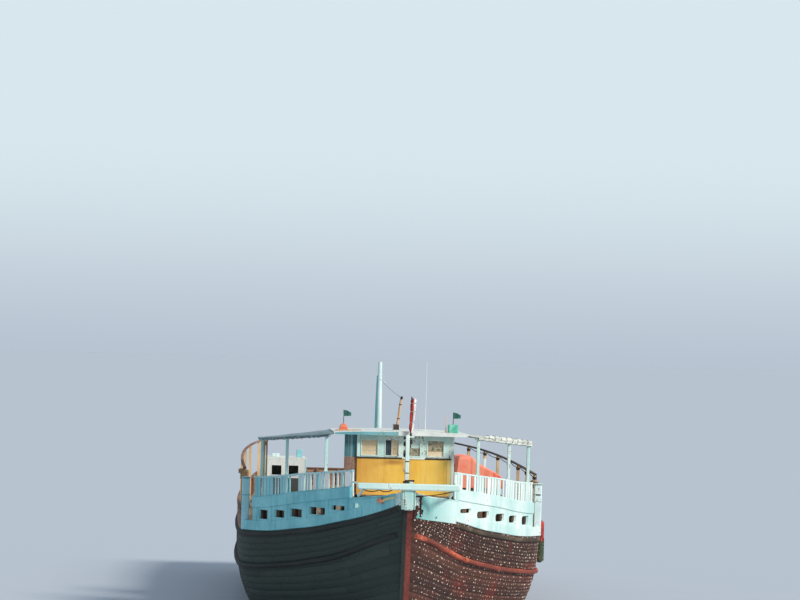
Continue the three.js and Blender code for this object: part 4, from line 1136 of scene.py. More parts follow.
# Side bitts: square posts at the after end of each side wall, with mooring rope round them.
def rope_growth():
    """Turns lines into three-stranded rope: a three-lobed section that twists along the line."""
    growth = Growth("lay_up_rope", Radius="Float", Lay="Float", Step="Float")
    curve = growth.node("GeometryNodeMeshToCurve", sockets={0: growth.given("Points")})
    sockets = {"Curve": curve, "Length": growth.given("Step")}
    even = growth.node("GeometryNodeResampleCurve", {"mode": "LENGTH"}, sockets)
    length = growth.node("GeometryNodeSplineParameter", take="Length")
    sockets = {"Curve": even, "Tilt": length * (2 * math.pi) / growth.given("Lay")}
    tilted = growth.node("GeometryNodeSetCurveTilt", sockets=sockets)
    radius = growth.given("Radius")
    sockets = {"Points": 3, "Inner Radius": radius * 0.78, "Outer Radius": radius}
    section = growth.node("GeometryNodeCurveStar", sockets=sockets)
    sockets = {"Curve": tilted, "Profile Curve": section, "Fill Caps": True}
    return growth.end(growth.node("GeometryNodeCurveToMesh", sockets=sockets))


ROPE_GROWTH = rope_growth()


def square_reach(angle, power):
    """How far a rounded square reaches at an angle, where its half width is 1."""
    c, s = abs(math.cos(angle)), abs(math.sin(angle))
    return 1 / max(c ** power + s ** power, 1e-6) ** (1 / power)


class Ropes:
    """Twisted ropes of one thickness and colour."""

    def __init__(self):
        self.places = []
        self.edges = []

    def run(self, path):
        start = len(self.places)
        self.places.extend(tuple(float(v) for v in point) for point in path)
        self.edges.extend((i, i + 1) for i in range(start, len(self.places) - 1))
        return self

    def turns(self, centre, half, count, pitch, steps=24):
        """Turns round an upright post, given half its width along t and along y."""
        t, y, z = centre
        path = []
        for a in np.linspace(0, 2 * math.pi * count, int(steps * count) + 1):
            reach = square_reach(a, 3)
            side_t, side_y = half[0] * math.cos(a) * reach, half[1] * math.sin(a) * reach
            path.append((t + side_t, y + side_y, z + pitch * a / (2 * math.pi)))
        return self.run(path)

    def sag(self, start, end, drop, steps=14):
        """A slack or taut stretch between two points."""
        path = []
        for u in np.linspace(0, 1, steps + 1):
            point = Vector(start).lerp(Vector(end), float(u))
            point.z -= drop * 4 * u * (1 - u)
            path.append(point)
        return self.run(path)

    def piece(self, name, radius, finish, step=None):
        points = points_mesh(self.places, self.edges)
        mesh = ROPE_GROWTH.run(points, finish, Radius=radius, Lay=radius * 7, Step=step or radius * 2.2)
        return settle(mesh, name, finish, crease=70)


def rope_finish(name, slot, dark, light):
    finish = Finish(name, slot, 0.9)
    lay = finish.noise(14, detail=4)
    age = finish.noise(1.1, detail=2)
    return finish.surface(finish.ramp(lay * 0.6 + age * 0.4, (0.35, dark), (0.65, light)), None, lay, 0.003)


MANILA = rope_finish("manila_rope", "pale_timber", tint(150, 118, 80), tint(214, 188, 148))
TARRED_ROPE = rope_finish("tarred_rope", "black_iron", tint(34, 30, 28), tint(84, 74, 64))
PALE_ROPE = rope_finish("pale_rope", "pale_timber", tint(176, 168, 150), tint(226, 222, 206))
# Painted light: the port colours are the bitt paint's sunlit copy, the first colours its shaded copy.
BITT_PAINT = painted(
    "bitt_paint", tint(140, 212, 228), tint(168, 236, 246), port=(tint(196, 232, 230), tint(238, 250, 248)),
    change=(-0.7, 0.1), second=tint(226, 240, 238), chipped=0.61,
)
BITT_BAND = (4.05, 4.12)

ropes = Ropes()
for name, side in SIDES:
    low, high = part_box("side_bitt_" + name)
    t = (BOW - high.x, BOW - low.x)
    post = Shape()
    for out, levels, ease, tone in (
        (0, (low.z, high.z - 0.05), 0.025, 0.2), (0.02, (high.z - 0.06, high.z), 0.02, 0.1),
        (0.012, BITT_BAND, 0.02, 0),
    ):
        post.box((t[0] - out, t[1] + out), (low.y - out, high.y + out), levels, ease, tone)
    post.piece("side_bitt_post_" + name, BITT_PAINT, replaces=["side_bitt_" + name])
    if name == "port":
        ropes.turns((sum(t) / 2, (low.y + high.y) / 2, 4.29), (0.14, 0.14), 2.2, 0.024)
ropes.piece("bitt_rope", 0.012, TARRED_ROPE)


# Foredeck: planks laid fore and aft on beams, with a margin plank along each fascia, and a boarded
# bulkhead that closes the space below at the bow.
DECK_BOARD = {"wide": 0.19, "seam": 0.004, "deep": 0.045, "margin": 0.061}
DECK_BEAM = 0.1
DECK_ENDS = (4.456, 4.001)  # height at the start and at the end


@Curve
def deck_top(t):
    share = (t - FOREDECK["start"]) / (FOREDECK["end"] - FOREDECK["start"])
    return DECK_ENDS[0] + (DECK_ENDS[1] - DECK_ENDS[0]) * share


chance = np.random.default_rng(13)
deck = Shape()
start, end = FOREDECK["start"] + 0.002, FOREDECK["end"]
wide, seam, deep, margin = DECK_BOARD.values()
count = int(breadth(end) / wide)
for i in range(-count, count + 1):
    y0, y1 = (i - 0.5) * wide + seam, (i + 0.5) * wide - seam
    t = np.linspace(start, end, 300)
    inside = t[breadth(t) > max(abs(y0), abs(y1)) + margin]
    if len(inside) < 2:
        continue
    rings = []
    for s in (inside[0], end):
        z = deck_top(s)
        rings.append([(s, y0, z - deep), (s, y0, z), (s, y1, z), (s, y1, z - deep)])
    deck.loft(rings, tone=chance.uniform(-0.4, 0.4))
for t in np.arange(start + 0.15, end - 0.1, 0.55):
    half = breadth(t) - 0.12
    top = deck_top(t) - deep - 0.004
    deck.box((t - 0.05, t + 0.05), (-half, half), (top - 0.05, top), tone=-0.3)
for _, side in SIDES:
    deck.strip(
        side, (start, end), breadth - margin, breadth - 0.2, deck_top - deep, deck_top + 0.012, steps=40
    )
deck.piece("foredeck_planks", DECK_WOOD, replaces=["foredeck"])
t = FOREDECK["start"] + PLANK / 2
low, top = sheer(t) + 0.003, deck_top(t) - DECK_BEAM - 0.002
half = breadth(FOREDECK["start"]) - PLANK - 0.02
rows = []
for y in np.arange(-half + 0.08, half - 0.05, 0.155):
    rows.append((t, y, (low + top) / 2, 0.06, 0.148, top - low, 0, chance.uniform(0, 0.4)))
set_out_boards("foredeck_bulkhead_boards", rows, TURQUOISE, replaces=["foredeck_bulkhead"])


# Bulwarks round the waist and the stern: four weathered boards and a capping rail, spiked to top
# timbers that stand inside them, clear of the stanchions.
WAIST = {"start": 8.5605, "rise": 0.7, "cap": 0.05, "boards": 4, "thick": 0.055, "rib": 0.58}
STANCHION = {"wide": 0.1, "rail": 0.06, "pitch": 2.9, "first": 9.9, "overhang": 0.3}
STANCHION_PLACES = np.arange(STANCHION["first"], STERN - 0.5, STANCHION["pitch"])
BULWARK_WOOD = timber(
    "bulwark_boards", "bulwark_timber", tint(70, 48, 40), tint(122, 92, 76), tint(170, 136, 116)
)


def lay_planks(shape, side, span, outer, inner, low, top, length, chance):
    """A strake of several planks, end to end."""
    cuts = [span[0], *np.arange(span[0] + chance.uniform(0.3, 1) * length, span[1] - 1.2, length), span[1]]
    for a, b in pairwise(cuts):
        steps = max(2, int((b - a) / 0.45))
        tone = chance.uniform(-0.5, 0.5)
        shape.strip(side, (a + 0.002, b - 0.002), outer, inner, low, top, steps=steps, tone=tone)


chance = np.random.default_rng(17)
step = (WAIST["rise"] - WAIST["cap"]) / WAIST["boards"]
span = (WAIST["start"], STERN)
for name, side in SIDES:
    boards = Shape()
    for k in range(WAIST["boards"]):
        low, top = sheer + (k * step + 0.003), sheer + ((k + 1) * step - 0.003)
        lay_planks(boards, side, span, breadth, breadth - WAIST["thick"], low, top, 5.2, chance)
    low, top = sheer + WAIST["rise"] - WAIST["cap"], sheer + WAIST["rise"]
    lay_planks(boards, side, span, breadth + 0.02, breadth - 0.1, low, top, 6.0, chance)
    boards.piece("waist_boards_" + name, BULWARK_WOOD, replaces=["waist_bulwark_" + name])
    rows = []
    for t in np.arange(WAIST["start"] + 0.3, STERN - 0.2, WAIST["rib"]):
        if min(abs(t - post) for post in STANCHION_PLACES) < 0.15:
            continue
        low, top = sheer(t) + 0.02, sheer(t) + WAIST["rise"] - WAIST["cap"] - 0.004
        y = side * (breadth(t) - WAIST["thick"] - 0.055)
        size = (chance.uniform(0.1, 0.14), 0.1, top - low)
        rows.append((t, y, (low + top) / 2, *size, heading(t, side), chance.uniform(-0.5, 0.3)))
    set_out_boards("waist_ribs_" + name, rows, BULWARK_WOOD)

chance = np.random.default_rng(19)
foot = sheer(STERN)
half = breadth(STERN) - PLANK - 0.002
boards = Shape()
for k in range(WAIST["boards"]):
    middle = chance.uniform(-1.5, 1.5)
    for y in ((-half, middle - 0.002), (middle + 0.002, half)):
        level = (foot + k * step + 0.004, foot + (k + 1) * step - 0.003)
        boards.box((STERN - WAIST["thick"], STERN), y, level, tone=chance.uniform(-0.5, 0.5))
cap = (foot + WAIST["rise"] - WAIST["cap"], foot + WAIST["rise"])
boards.box((STERN - 0.11, STERN), (-half, half), cap)
for y in np.linspace(-half + 0.25, half - 0.25, 9):
    reach = (STERN - 0.16, STERN - WAIST["thick"] - 0.001)
    boards.box(reach, (y - 0.055, y + 0.055), (foot + 0.02, cap[0]))
boards.piece("stern_boards", BULWARK_WOOD, replaces=["stern_bulwark"])


# Stanchions: bare pale posts bolted inside the bulwarks, with a dark hand rail over their heads and
# old rope lashed round each joint and strung under the rail to port.
post_top = line((0.25, 5.0), (10, 5.0), (28, 5.45), (30, 5.5))
PALE_WOOD = timber(
    "pale_timber", "pale_timber", tint(156, 122, 88), tint(214, 180, 136), tint(242, 218, 180), (9, 9, 1)
)
RAIL_WOOD = timber(
    "hand_rail_timber", "pale_timber", tint(44, 38, 34), tint(80, 68, 58), tint(118, 100, 84)
)
ROPE_MADE_UP = ((9.9, -1, 4.52, 8), (12.8, -1, 4.62, 4), (9.9, 1, 4.5, 5))  # t, side, height, turns
PAINTED_POST = {"number": 5, "levels": (3.95, 5.02)}

chance = np.random.default_rng(23)
post_outer = breadth - (WAIST["thick"] + 0.026)
post_middle = post_outer - STANCHION["wide"] / 2
post_inner = post_outer - STANCHION["wide"]
wound = Ropes()
for name, side in SIDES:
    posts, rail = Shape(), Shape()
    for t in STANCHION_PLACES:
        posts.strip(
            side, (t - 0.05, t + 0.05), post_outer, post_inner,
            sheer + 0.003, post_top - STANCHION["rail"] + 0.002,
            steps=1, ease=0.012, tone=chance.uniform(-0.3, 0.3),
        )
        if side > 0:
            wound.turns((t, post_middle(t), post_top(t) - 0.22), (0.066, 0.066), 3, 0.034, 16)
    posts.piece("stanchions_" + name, PALE_WOOD, replaces=["stanchion_rail_" + name])
    span = (STANCHION["first"] - STANCHION["overhang"], STERN - 0.2)
    low = post_top - STANCHION["rail"]
    lay_planks(rail, side, span, post_outer + 0.001, post_inner, low, post_top, 5.8, chance)
    rail.piece("hand_rail_" + name, RAIL_WOOD if side > 0 else BULWARK_WOOD, slot="pale_timber")
wound.piece("stanchion_lashings", 0.017, TARRED_ROPE)
strung = Ropes()
for ends in pairwise([(t, post_outer(t) + 0.02, post_top(t) - 0.1) for t in STANCHION_PLACES]):
    strung.sag(*ends, 0.09)
strung.piece("rail_rope_port", 0.016, TARRED_ROPE)
made_up = Ropes()
for t, side, low, count in ROPE_MADE_UP:
    for layer in (0, 1):
        half = 0.085 + 0.05 * layer
        place = (t, side * post_middle(t), low + 0.02 * layer)
        made_up.turns(place, (half, half), count - layer, 0.05, 16)
made_up.piece("rope_made_up_on_stanchions", 0.026, MANILA)
t = STANCHION_PLACES[PAINTED_POST["number"]]
y = post_middle(t)
sleeve = Shape()
sleeve.box((t - 0.054, t + 0.054), (y - 0.056, y + 0.056), PAINTED_POST["levels"], 0.012, 0.6)
sleeve.piece("stanchion_paint", TURQUOISE)


# Stem head, cross beam and jackstaff: squared baulks painted pale, with the white worn through, an
# iron band at the staff's foot, two blocks with their halyard, and knees that brace the beam.
# Painted light: the port colours are the pale paint's sunlit copy, the first colours its shaded copy.
PALE_TURQUOISE = painted(
    "pale_turquoise_paint", tint(150, 206, 204), tint(202, 232, 224),
    port=(tint(172, 220, 212), tint(222, 240, 230)), second=tint(238, 244, 234), chipped=0.6,
)
# Painted shade: the stem head's paint is a darker copy of the pale turquoise; its port colours are its
# painted sunlit copy.
HEAD_PAINT = painted(
    "stem_head_paint", tint(132, 186, 184), tint(166, 208, 202),
    port=(tint(146, 200, 194), tint(188, 220, 211)), second=tint(214, 228, 218), chipped=0.6,
)
HEAD = {"half": 0.225, "end": 0.24, "low": 4.081, "top": 4.72, "post": 0.155}
CROSS = {"half": 1.65, "start": -0.09, "end": 0.11, "low": 4.7205, "top": 4.93}
KNEES = (  # start and end to port, width, height
    ((0.08, 1.42, 4.77), (2.1, 1.5, 4.42), 0.07, 0.08),
    ((0.1, 1.5, 4.86), (2.33, 1.68, 4.86), 0.05, 0.06),
    ((2.3, 1.66, 4.38), (2.33, 1.68, 4.9), 0.05, 0.05),
)
STAFF_PARTS = (  # t, y, z, ease and tone of its foot, its shaft and the cap near its top
    ((-0.05, 0.1), (-0.13, 0.13), (CROSS["top"] + 0.001, 5.04), 0.02, 0.3),
    ((0.0, 0.1), (-0.135, -0.015), (5.03, 6.48), 0.014, 0.5),
    ((-0.002, 0.102), (-0.14, -0.01), (6.3, 6.36), 0.01, 0.5),
)
STAFF_BLOCKS = (  # y, z, height
    (-0.17, 5.78, 0.22), (-0.17, 6.12, 0.16), (0.04, 6.2, 0.14), (-0.17, 6.34, 0.1),
)

head = Shape().box((0, HEAD["end"]), (-HEAD["post"], HEAD["post"]), (HEAD["low"], HEAD["top"]), 0.03, 0.2)
for side in (1, -1):
    cheek = (side * (HEAD["post"] + 0.002), side * HEAD["half"])
    head.box((0.012, HEAD["end"] - 0.004), cheek, (HEAD["low"] + 0.02, HEAD["top"] - 0.004), 0.02, 0.1)
head.piece("stem_head_timber", HEAD_PAINT, replaces=["stem_head"])
beam = Shape().box(
    (CROSS["start"], CROSS["end"]), (-CROSS["half"], CROSS["half"]), (CROSS["low"], CROSS["top"]),
    0.035, 0.35,
)
beam.piece("cross_beam_timber", PALE_TURQUOISE, replaces=["cross_beam"])
breast, knees = Shape(), Shape()
for side in (1, -1):
    breast.strip(
        side, (0.2, 0.462), line((0.2, 0.262), (0.462, 0.39)), line((0.2, 0.228), (0.462, 0.3)),
        sheer - 0.02, bow_cap + 0.03, steps=6, tone=0.3,
    )
    for *ends, wide, high in KNEES:
        knees.beam(*((t, side * y, z) for t, y, z in ends), wide, high, tone=0.7)
breast.piece("breast_planks", TURQUOISE)
knees.piece("cross_beam_knees", PALE_TURQUOISE)
staff, iron = Shape(), Shape()
for part in STAFF_PARTS:
    staff.box(*part)
peg = [(0.06, -0.14, 6.42), (0.06, -0.05, 6.422), (0.06, 0.05, 6.422), (0.06, 0.14, 6.42)]
staff.tube(peg, 0.024, 12, 0.4)
staff.piece("jackstaff_timber", PALE_TURQUOISE, replaces=["jackstaff"])
iron.box((-0.058, 0.104), (-0.14, 0.17), (5.0, 5.05), 0.006)
for z in (5.25, 5.62):
    iron.box((-0.005, 0.105), (-0.14, -0.01), (z, z + 0.035), 0.004)
for y, z, tall in STAFF_BLOCKS:
    iron.upright(0.03, y, (z, z + tall / 3, z + tall), [0.022, 0.045, 0.024])
iron.tube([(0.05, -0.13, 5.3), (0.05, -0.18, 5.34), (0.05, -0.19, 5.42)], 0.014, 8)
iron.piece("jackstaff_iron", IRON)
halyards = Ropes()
for y, foot in ((-0.17, 5.4), (-0.19, 5.36), (0.04, 5.1)):
    halyards.run([(0.03, y * 1.05, foot), (0.03, y, 5.7), (0.03, y, 6.32)])
halyards.turns((0.05, -0.17, 5.32), (0.03, 0.02), 4, 0.02, 12)
halyards.piece("jackstaff_halyards", 0.008, PALE_ROPE)


# Wheelhouse: boarded walls, yellow below and turquoise round the windows, with a moulding between painted
# dark as the shadow under the window band, pale corner posts, shutters and panes. A board wing stands out
# from the starboard corner.
HOUSE = {"front": 4.55, "aft": 7.3, "starboard": -1.45, "port": 1.7, "top": 6.35, "band": 5.6, "wall": 0.06}
FRONT_WALL = ("across", HOUSE["front"], -1)
AFT_WALL = ("across", HOUSE["aft"], 1)
SIDE_WALLS = {"port": ("along", HOUSE["port"], 1), "starboard": ("along", HOUSE["starboard"], -1)}
FRONT_WINDOWS = ((-1.33, -0.74), (-0.54, -0.04), (0.16, 0.68), (0.88, 1.47))
SIDE_WINDOWS = ((4.78, 5.38), (6.48, 7.08))
GLASS_LEVEL = (5.64, 6.22)
DOORWAY = (5.62, 6.27, 4.29, 6.15)
AFT_OPENING = (-0.7, 0.95, 5.54, 6.22)


def yellow_painted_shadow(finish):
    """A painted shadow, brown, across the front wall below its second window."""
    wander = (finish.noise(1.7, detail=5) - 0.5) * 0.9
    across = finish.part("Y") + wander
    height = finish.part("Z") + wander * 0.35 - finish.part("Y") * 0.07
    wide = finish.between(across, -0.95, -0.4) * (1 - finish.between(across, -0.2, 0.3))
    return wide * finish.between(height, 5.28, 5.42) * (1 - finish.between(height, 5.46, 5.58))


# Painted light: the port colours are the yellow's sunlit copy, the first colours its shaded copy; a painted
# shadow lies below the second window.
YELLOW = painted(
    "yellow_paint", tint(206, 140, 44), tint(230, 174, 72), "yellow_paint", tint(150, 84, 50),
    port=(tint(243, 184, 61), tint(254, 208, 90)), chipped=0.67, second=tint(246, 220, 148),
    shade_mark=(yellow_painted_shadow, tint(160, 88, 40), 0.65),
)


def on_wall(wall, along, out, level):
    """The (t, y, z) pairs of a box on a wall: its stretch, how far it stands out, and its height."""
    axis, face, way = wall
    depth = (face + way * out[0], face + way * out[1])
    return (depth, along, level) if axis == "across" else (along, depth, level)


def board_wall(shape, wall, span, levels, openings, chance, wide=0.2):
    """Upright boards along a wall, cut away at its openings of (start, end, bottom, top)."""
    marks = sorted({*span, *(edge for opening in openings for edge in opening[:2])})
    for a, b in pairwise(marks):
        count = max(1, round((b - a) / wide))
        for k in range(count):
            start, end = a + (b - a) * k / count, a + (b - a) * (k + 1) / count
            middle = (start + end) / 2
            low = levels[0](middle) if callable(levels[0]) else levels[0]
            parts = [(low, levels[1])]
            for first, last, bottom, top in openings:
                if first < middle < last:
                    parts = [
                        part for p in parts for part in ((p[0], min(p[1], bottom)), (max(p[0], top), p[1]))
                        if part[1] - part[0] > 0.01
                    ]
            tone = chance.uniform(0, 0.22)
            for part in parts:
                span = (start + 0.001, end - 0.001)
                shape.box(*on_wall(wall, span, (-HOUSE["wall"], 0), part), 0.004, tone)


def window_frame(shape, wall, along, level, wide=0.035, out=(-0.03, 0.018), tone=0.5):
    """Four battens round an opening, inside its edge."""
    (a, b), (low, top) = along, level
    for stretch, height in (
        ((a, a + wide), (low, top)), ((b - wide, b), (low, top)),
        ((a + wide, b - wide), (low, low + wide)), ((a + wide, b - wide), (top - wide, top)),
    ):
        shape.box(*on_wall(wall, stretch, out, height), 0.006, tone)


def glass_finish():
    """Dusty panes. Where the piece's tone is 1, they mirror something mottled."""
    finish = Finish("window_glass", "black_iron", 0.12)
    dust = finish.noise(3, detail=4)
    dark = finish.ramp(dust, (0.4, tint(34, 44, 50)), (0.65, tint(62, 80, 88)))
    mottle = finish.noise(9, (1, 1, 1.6), 4, 0.6)
    mirrored = finish.ramp(
        mottle, (0.36, tint(78, 90, 62)), (0.45, tint(160, 162, 130)),
        (0.54, tint(206, 176, 148)), (0.64, tint(120, 130, 106)),
    )
    return finish.surface(finish.blend(dark, mirrored, finish.own("tone")), 0.1 + dust * 0.25)


GLASS = glass_finish()
SHUTTER_WOOD = timber(
    "shutter_boards", "pale_timber", tint(168, 142, 108), tint(208, 186, 150), tint(232, 214, 184)
)

chance = np.random.default_rng(29)
front = [(a, b, *GLASS_LEVEL) for a, b in FRONT_WINDOWS]
beside = [(a, b, *GLASS_LEVEL) for a, b in SIDE_WINDOWS] + [DOORWAY]
across, along = (HOUSE["starboard"], HOUSE["port"]), (4.6105, 7.2395)
for name, wall, span, openings in (
    ("wheelhouse_front", FRONT_WALL, across, front),
    ("wheelhouse_aft_wall", AFT_WALL, across, [AFT_OPENING]),
    ("wheelhouse_wall_port", SIDE_WALLS["port"], along, beside),
    ("wheelhouse_wall_starboard", SIDE_WALLS["starboard"], along, beside),
):
    foot = deck_top + 0.002
    if wall[0] == "across":
        foot = foot(wall[1])
    lower, upper = Shape(), Shape()
    wide = 0.53 if wall == FRONT_WALL else 0.2
    board_wall(lower, wall, span, (foot, HOUSE["band"]), openings, chance, wide)
    board_wall(upper, wall, span, (HOUSE["band"], HOUSE["top"] - 0.001), openings, chance, wide)
    for opening in openings:
        if opening != DOORWAY:
            window_frame(upper, wall, opening[:2], opening[2:])
    lower.piece(name + "_boards", YELLOW, replaces=[name])
    upper.piece(name + "_band", PALE_TURQUOISE if wall == FRONT_WALL else TURQUOISE)

MOULDING = (5.565, 5.615)
CORNER_POST = {"depth": (4.535, 4.63), "top": 6.348}
SCREEN_PAINT = painted("screen_paint", tint(52, 104, 112), tint(74, 130, 136), second=tint(150, 190, 192))
SCREEN_EDGES = (-1.872, -1.75, -1.655, -1.6, -1.452)
SCREEN_TONES = (0.0, 0.1, 0.5, 0.0)

# Painted shadow: the mouldings are dark, as the shadow line under the window band.
mouldings = Shape()
for a, b in ((-1.46, 0.05), (0.82, 1.71)):
    mouldings.box(*on_wall(FRONT_WALL, (a, b), (0, 0.028), MOULDING), 0.008, -0.4)
mouldings.box(*on_wall(AFT_WALL, (-1.46, 1.71), (0, 0.028), (5.49, 5.535)), 0.008, -0.4)
for wall in SIDE_WALLS.values():
    for a, b in ((4.56, 5.5), (6.32, 7.29)):
        mouldings.box(*on_wall(wall, (a, b), (0, 0.004), MOULDING), 0.002, -0.4)
mouldings.piece("wheelhouse_moulding", RAIL_WOOD, slot="bulwark_timber")
pale = Shape().box(*on_wall(FRONT_WALL, (0.06, 0.81), (0, 0.03), (5.56, 5.62)), 0.008, 0.9)
for a, b, foot in (
    (HOUSE["starboard"] - 0.012, HOUSE["starboard"] + 0.08, 5.616),
    (HOUSE["port"] + 0.001, HOUSE["port"] + 0.095, 4.266),
):
    pale.box(CORNER_POST["depth"], (a, b), (foot, CORNER_POST["top"]), 0.01, 0.6)
for y in (HOUSE["starboard"] + 0.01, HOUSE["port"] - 0.01):
    pale.box((7.25, 7.32), (y - 0.05, y + 0.05), (4.04, CORNER_POST["top"]), 0.01, 0.4)
pale.piece("wheelhouse_corner_posts", PALE_TURQUOISE)
border = Shape().box(*on_wall(FRONT_WALL, (1.56, 1.695), (0.0005, 0.014), (4.268, 5.56)), 0.004, 0.75)
border.box(*on_wall(FRONT_WALL, (-1.44, 1.555), (0.0005, 0.016), (4.268, 4.36)), 0.004, 0.1)
border.piece("wheelhouse_border", YELLOW)
# The wing screen: darker teal above, and below it brown wood, which is painted shade standing for yellow
# paint in shade.
upper, lower = Shape(), Shape()
for k, (a, b) in enumerate(pairwise(SCREEN_EDGES)):
    depth = (4.612 + 0.008 * (k % 2), 4.648)
    upper.box(depth, (a, b - 0.004), (5.6, CORNER_POST["top"]), 0.006, SCREEN_TONES[k])
    lower.box(depth, (a, b - 0.004), (4.27, 5.598), 0.006, 0.1 * k)
upper.piece("wheelhouse_screen", SCREEN_PAINT)
lower.piece("wheelhouse_screen_foot", BULWARK_WOOD)

# What fills the windows: a shutter, panes, and boards behind the lower parts
panes, shutters, cover = Shape(), Shape(), Shape()
bottom, top = GLASS_LEVEL
first, second, third, fourth = FRONT_WINDOWS
middle = (second[0] + second[1]) / 2 - 0.02
set_in, proud = (-0.045, -0.033), (-0.033, -0.025)
louvres = [(bottom + 0.002 + k * 0.193, bottom + 0.19 + k * 0.193) for k in range(3)]
step = (third[1] - third[0]) / 3
slats = [(third[0] + (third[1] - third[0]) * k / 3, k) for k in range(3)]
for shape, stretch, out, level, ease, tone in (
    (shutters, first, set_in, louvres[0], 0.004, 0.1),
    (shutters, first, set_in, louvres[1], 0.004, -0.1),
    (shutters, first, set_in, louvres[2], 0.004, 0.2),
    (panes, (second[0], middle), set_in, GLASS_LEVEL, 0.002, 0),
    (shutters, (middle, second[1] - 0.03), set_in, GLASS_LEVEL, 0.004, 0.35),
    (shutters, (middle + 0.06, second[1] - 0.09), proud, (5.72, 5.93), 0.004, -0.1),
    (panes, third, set_in, (bottom, 5.93), 0.002, 0.7),
    (panes, fourth, set_in, (5.87, top), 0.002, 1),
    (shutters, fourth, set_in, (5.835, 5.868), 0.004, -0.7),
    (shutters, fourth, set_in, (bottom, 5.833), 0.004, 0.5),
    *((cover, (a + 0.002, a + step - 0.002), set_in, (5.93, top), 0.004, 0.1 * k) for a, k in slats),
):
    shape.box(*on_wall(FRONT_WALL, stretch, out, level), ease, tone)
for wall in SIDE_WALLS.values():
    for window in SIDE_WINDOWS:
        panes.box(*on_wall(wall, window, set_in, GLASS_LEVEL), 0.002, 0.2)
panes.piece("window_panes", GLASS)
shutters.piece("window_shutters", SHUTTER_WOOD)
cover.piece("window_cover", PALE_TURQUOISE)
dress(PALE_WOOD, "helm")


# Doors: ledged boards with a pane in the upper part, each on two iron hinges between lugs.
LEAF = {"start": 5.585, "end": 6.3, "low": 4.26, "top": 6.17, "near": 0.006, "thick": 0.04, "hinge": 5.56}
PANE = {"inset": 0.11, "bottom": 5.56}
BARREL = {"radius": 0.018, "out": 0.03}
LUG = {"half": 0.018, "out": 0.05, "tall": 0.06, "play": 0.0004}


def hinge_lugs(shape, t, y, way, low, top):
    """The two fixed ends that hold a barrel from below and above."""
    play, tall = LUG["play"], LUG["tall"]
    for level in ((low - play - tall, low - play), (top + play, top + play + tall)):
        shape.box((t - LUG["half"], t + LUG["half"]), (y - way * 0.005, y + way * LUG["out"]), level, 0.004)


def door_leaf(shape, iron, hinge, start, end, low, top, face, way, pane, handle_t):
    """Boards, ledges and hinge irons of one leaf that closes over its doorway."""
    back, front = face + way * LEAF["near"], face + way * (LEAF["near"] + 0.026)
    count = max(3, round((end - start) / 0.145))
    for k in range(count):
        a, b = start + (end - start) * k / count + 0.001, start + (end - start) * (k + 1) / count - 0.001
        if pane and a > start + 0.05 and b < end - 0.05:
            for level in ((low, pane[0]), (pane[1], top)):
                shape.box((a, b), (back, front), level, 0.004, 0.1 * (k % 2))
        else:
            shape.box((a, b), (back, front), (low, top), 0.004, 0.12 * (k % 2))
    outer = face + way * (LEAF["near"] + LEAF["thick"])
    axis = face + way * BARREL["out"]
    middle = low + (top - low) * 0.52
    ledges = [(low + 0.12, low + 0.22), (middle, middle + 0.09), (top - 0.1, top - 0.01)]
    for level in ledges:
        shape.box((start + 0.02, end - 0.02), (front + way * 0.0005, outer), level, 0.006, 0.3)
    iron.upright(hinge, axis, (low, (low + top) / 2, top), BARREL["radius"], 14)
    for low_ledge, top_ledge in ledges:
        strap = (low_ledge + 0.02, top_ledge - 0.02)
        iron.box((hinge, start + 0.28), (outer - way * 0.008, outer + way * 0.004), strap, 0.002)
    iron.box((hinge, start + 0.03), (axis - 0.008, axis + 0.008), (low + 0.01, top - 0.01), 0.003)
    z = low + 0.95
    handle = ((0, -0.07), (0.035, -0.06), (0.035, 0.06), (0, 0.07))
    iron.tube([(handle_t, outer + way * out, z + rise) for out, rise in handle], 0.008, 8)


lugs = Shape()
start, end, low, top, hinge = (LEAF[key] for key in ("start", "end", "low", "top", "hinge"))
pane = (PANE["bottom"], top - PANE["inset"])
for name, side in SIDES:
    face = HOUSE[name]
    leaf, iron = Shape(), Shape()
    hinge_lugs(lugs, hinge, face, side, low, top)
    door_leaf(leaf, iron, hinge, start, end, low, top, face, side, pane, end - 0.07)
    body = "wheelhouse_door_" + name
    leaf.piece("door_boards_" + name, TURQUOISE, body, [body])
    iron.piece("door_irons_" + name, IRON, body)
    glass = Shape().box((start + 0.13, end - 0.13), (face + side * 0.016, face + side * 0.02), pane, 0.001)
    glass.piece("door_pane_" + name, GLASS, body)
lugs.piece("door_lugs", IRON)


# Wheelhouse roof: narrow planks laid fore and aft over a crowned frame, ceiled underneath and closed by
# painted boards all round, the front one green to starboard as painted shade and white to port.
ROOF = {
    "start": 4.22, "end": 8.3, "half": 2.25, "crown": 6.5, "edge": 6.44, "under": 6.3506, "plank": 0.026,
    "planks": 20, "board": 0.03,
}
ROOF_EDGE_PAINT = painted("roof_edge_paint", tint(96, 158, 168), tint(128, 184, 188))
WHITES = (tint(214, 220, 214), tint(238, 240, 234))
WHITE = painted("white_paint", *WHITES, "white_paint", chipped=0.66)


def roof_top(y):
    return ROOF["crown"] - (ROOF["crown"] - ROOF["edge"]) * (y / ROOF["half"]) ** 2


def roof_edge_board(shape, span, t):
    """A board under the planks at one end of the roof, cut to the crown."""
    rings = []
    for y in np.linspace(*span, 10):
        top = roof_top(y) - ROOF["plank"] - 0.001
        rings.append([(t[0], y, ROOF["under"]), (t[1], y, ROOF["under"]), (t[1], y, top), (t[0], y, top)])
    shape.loft(rings)


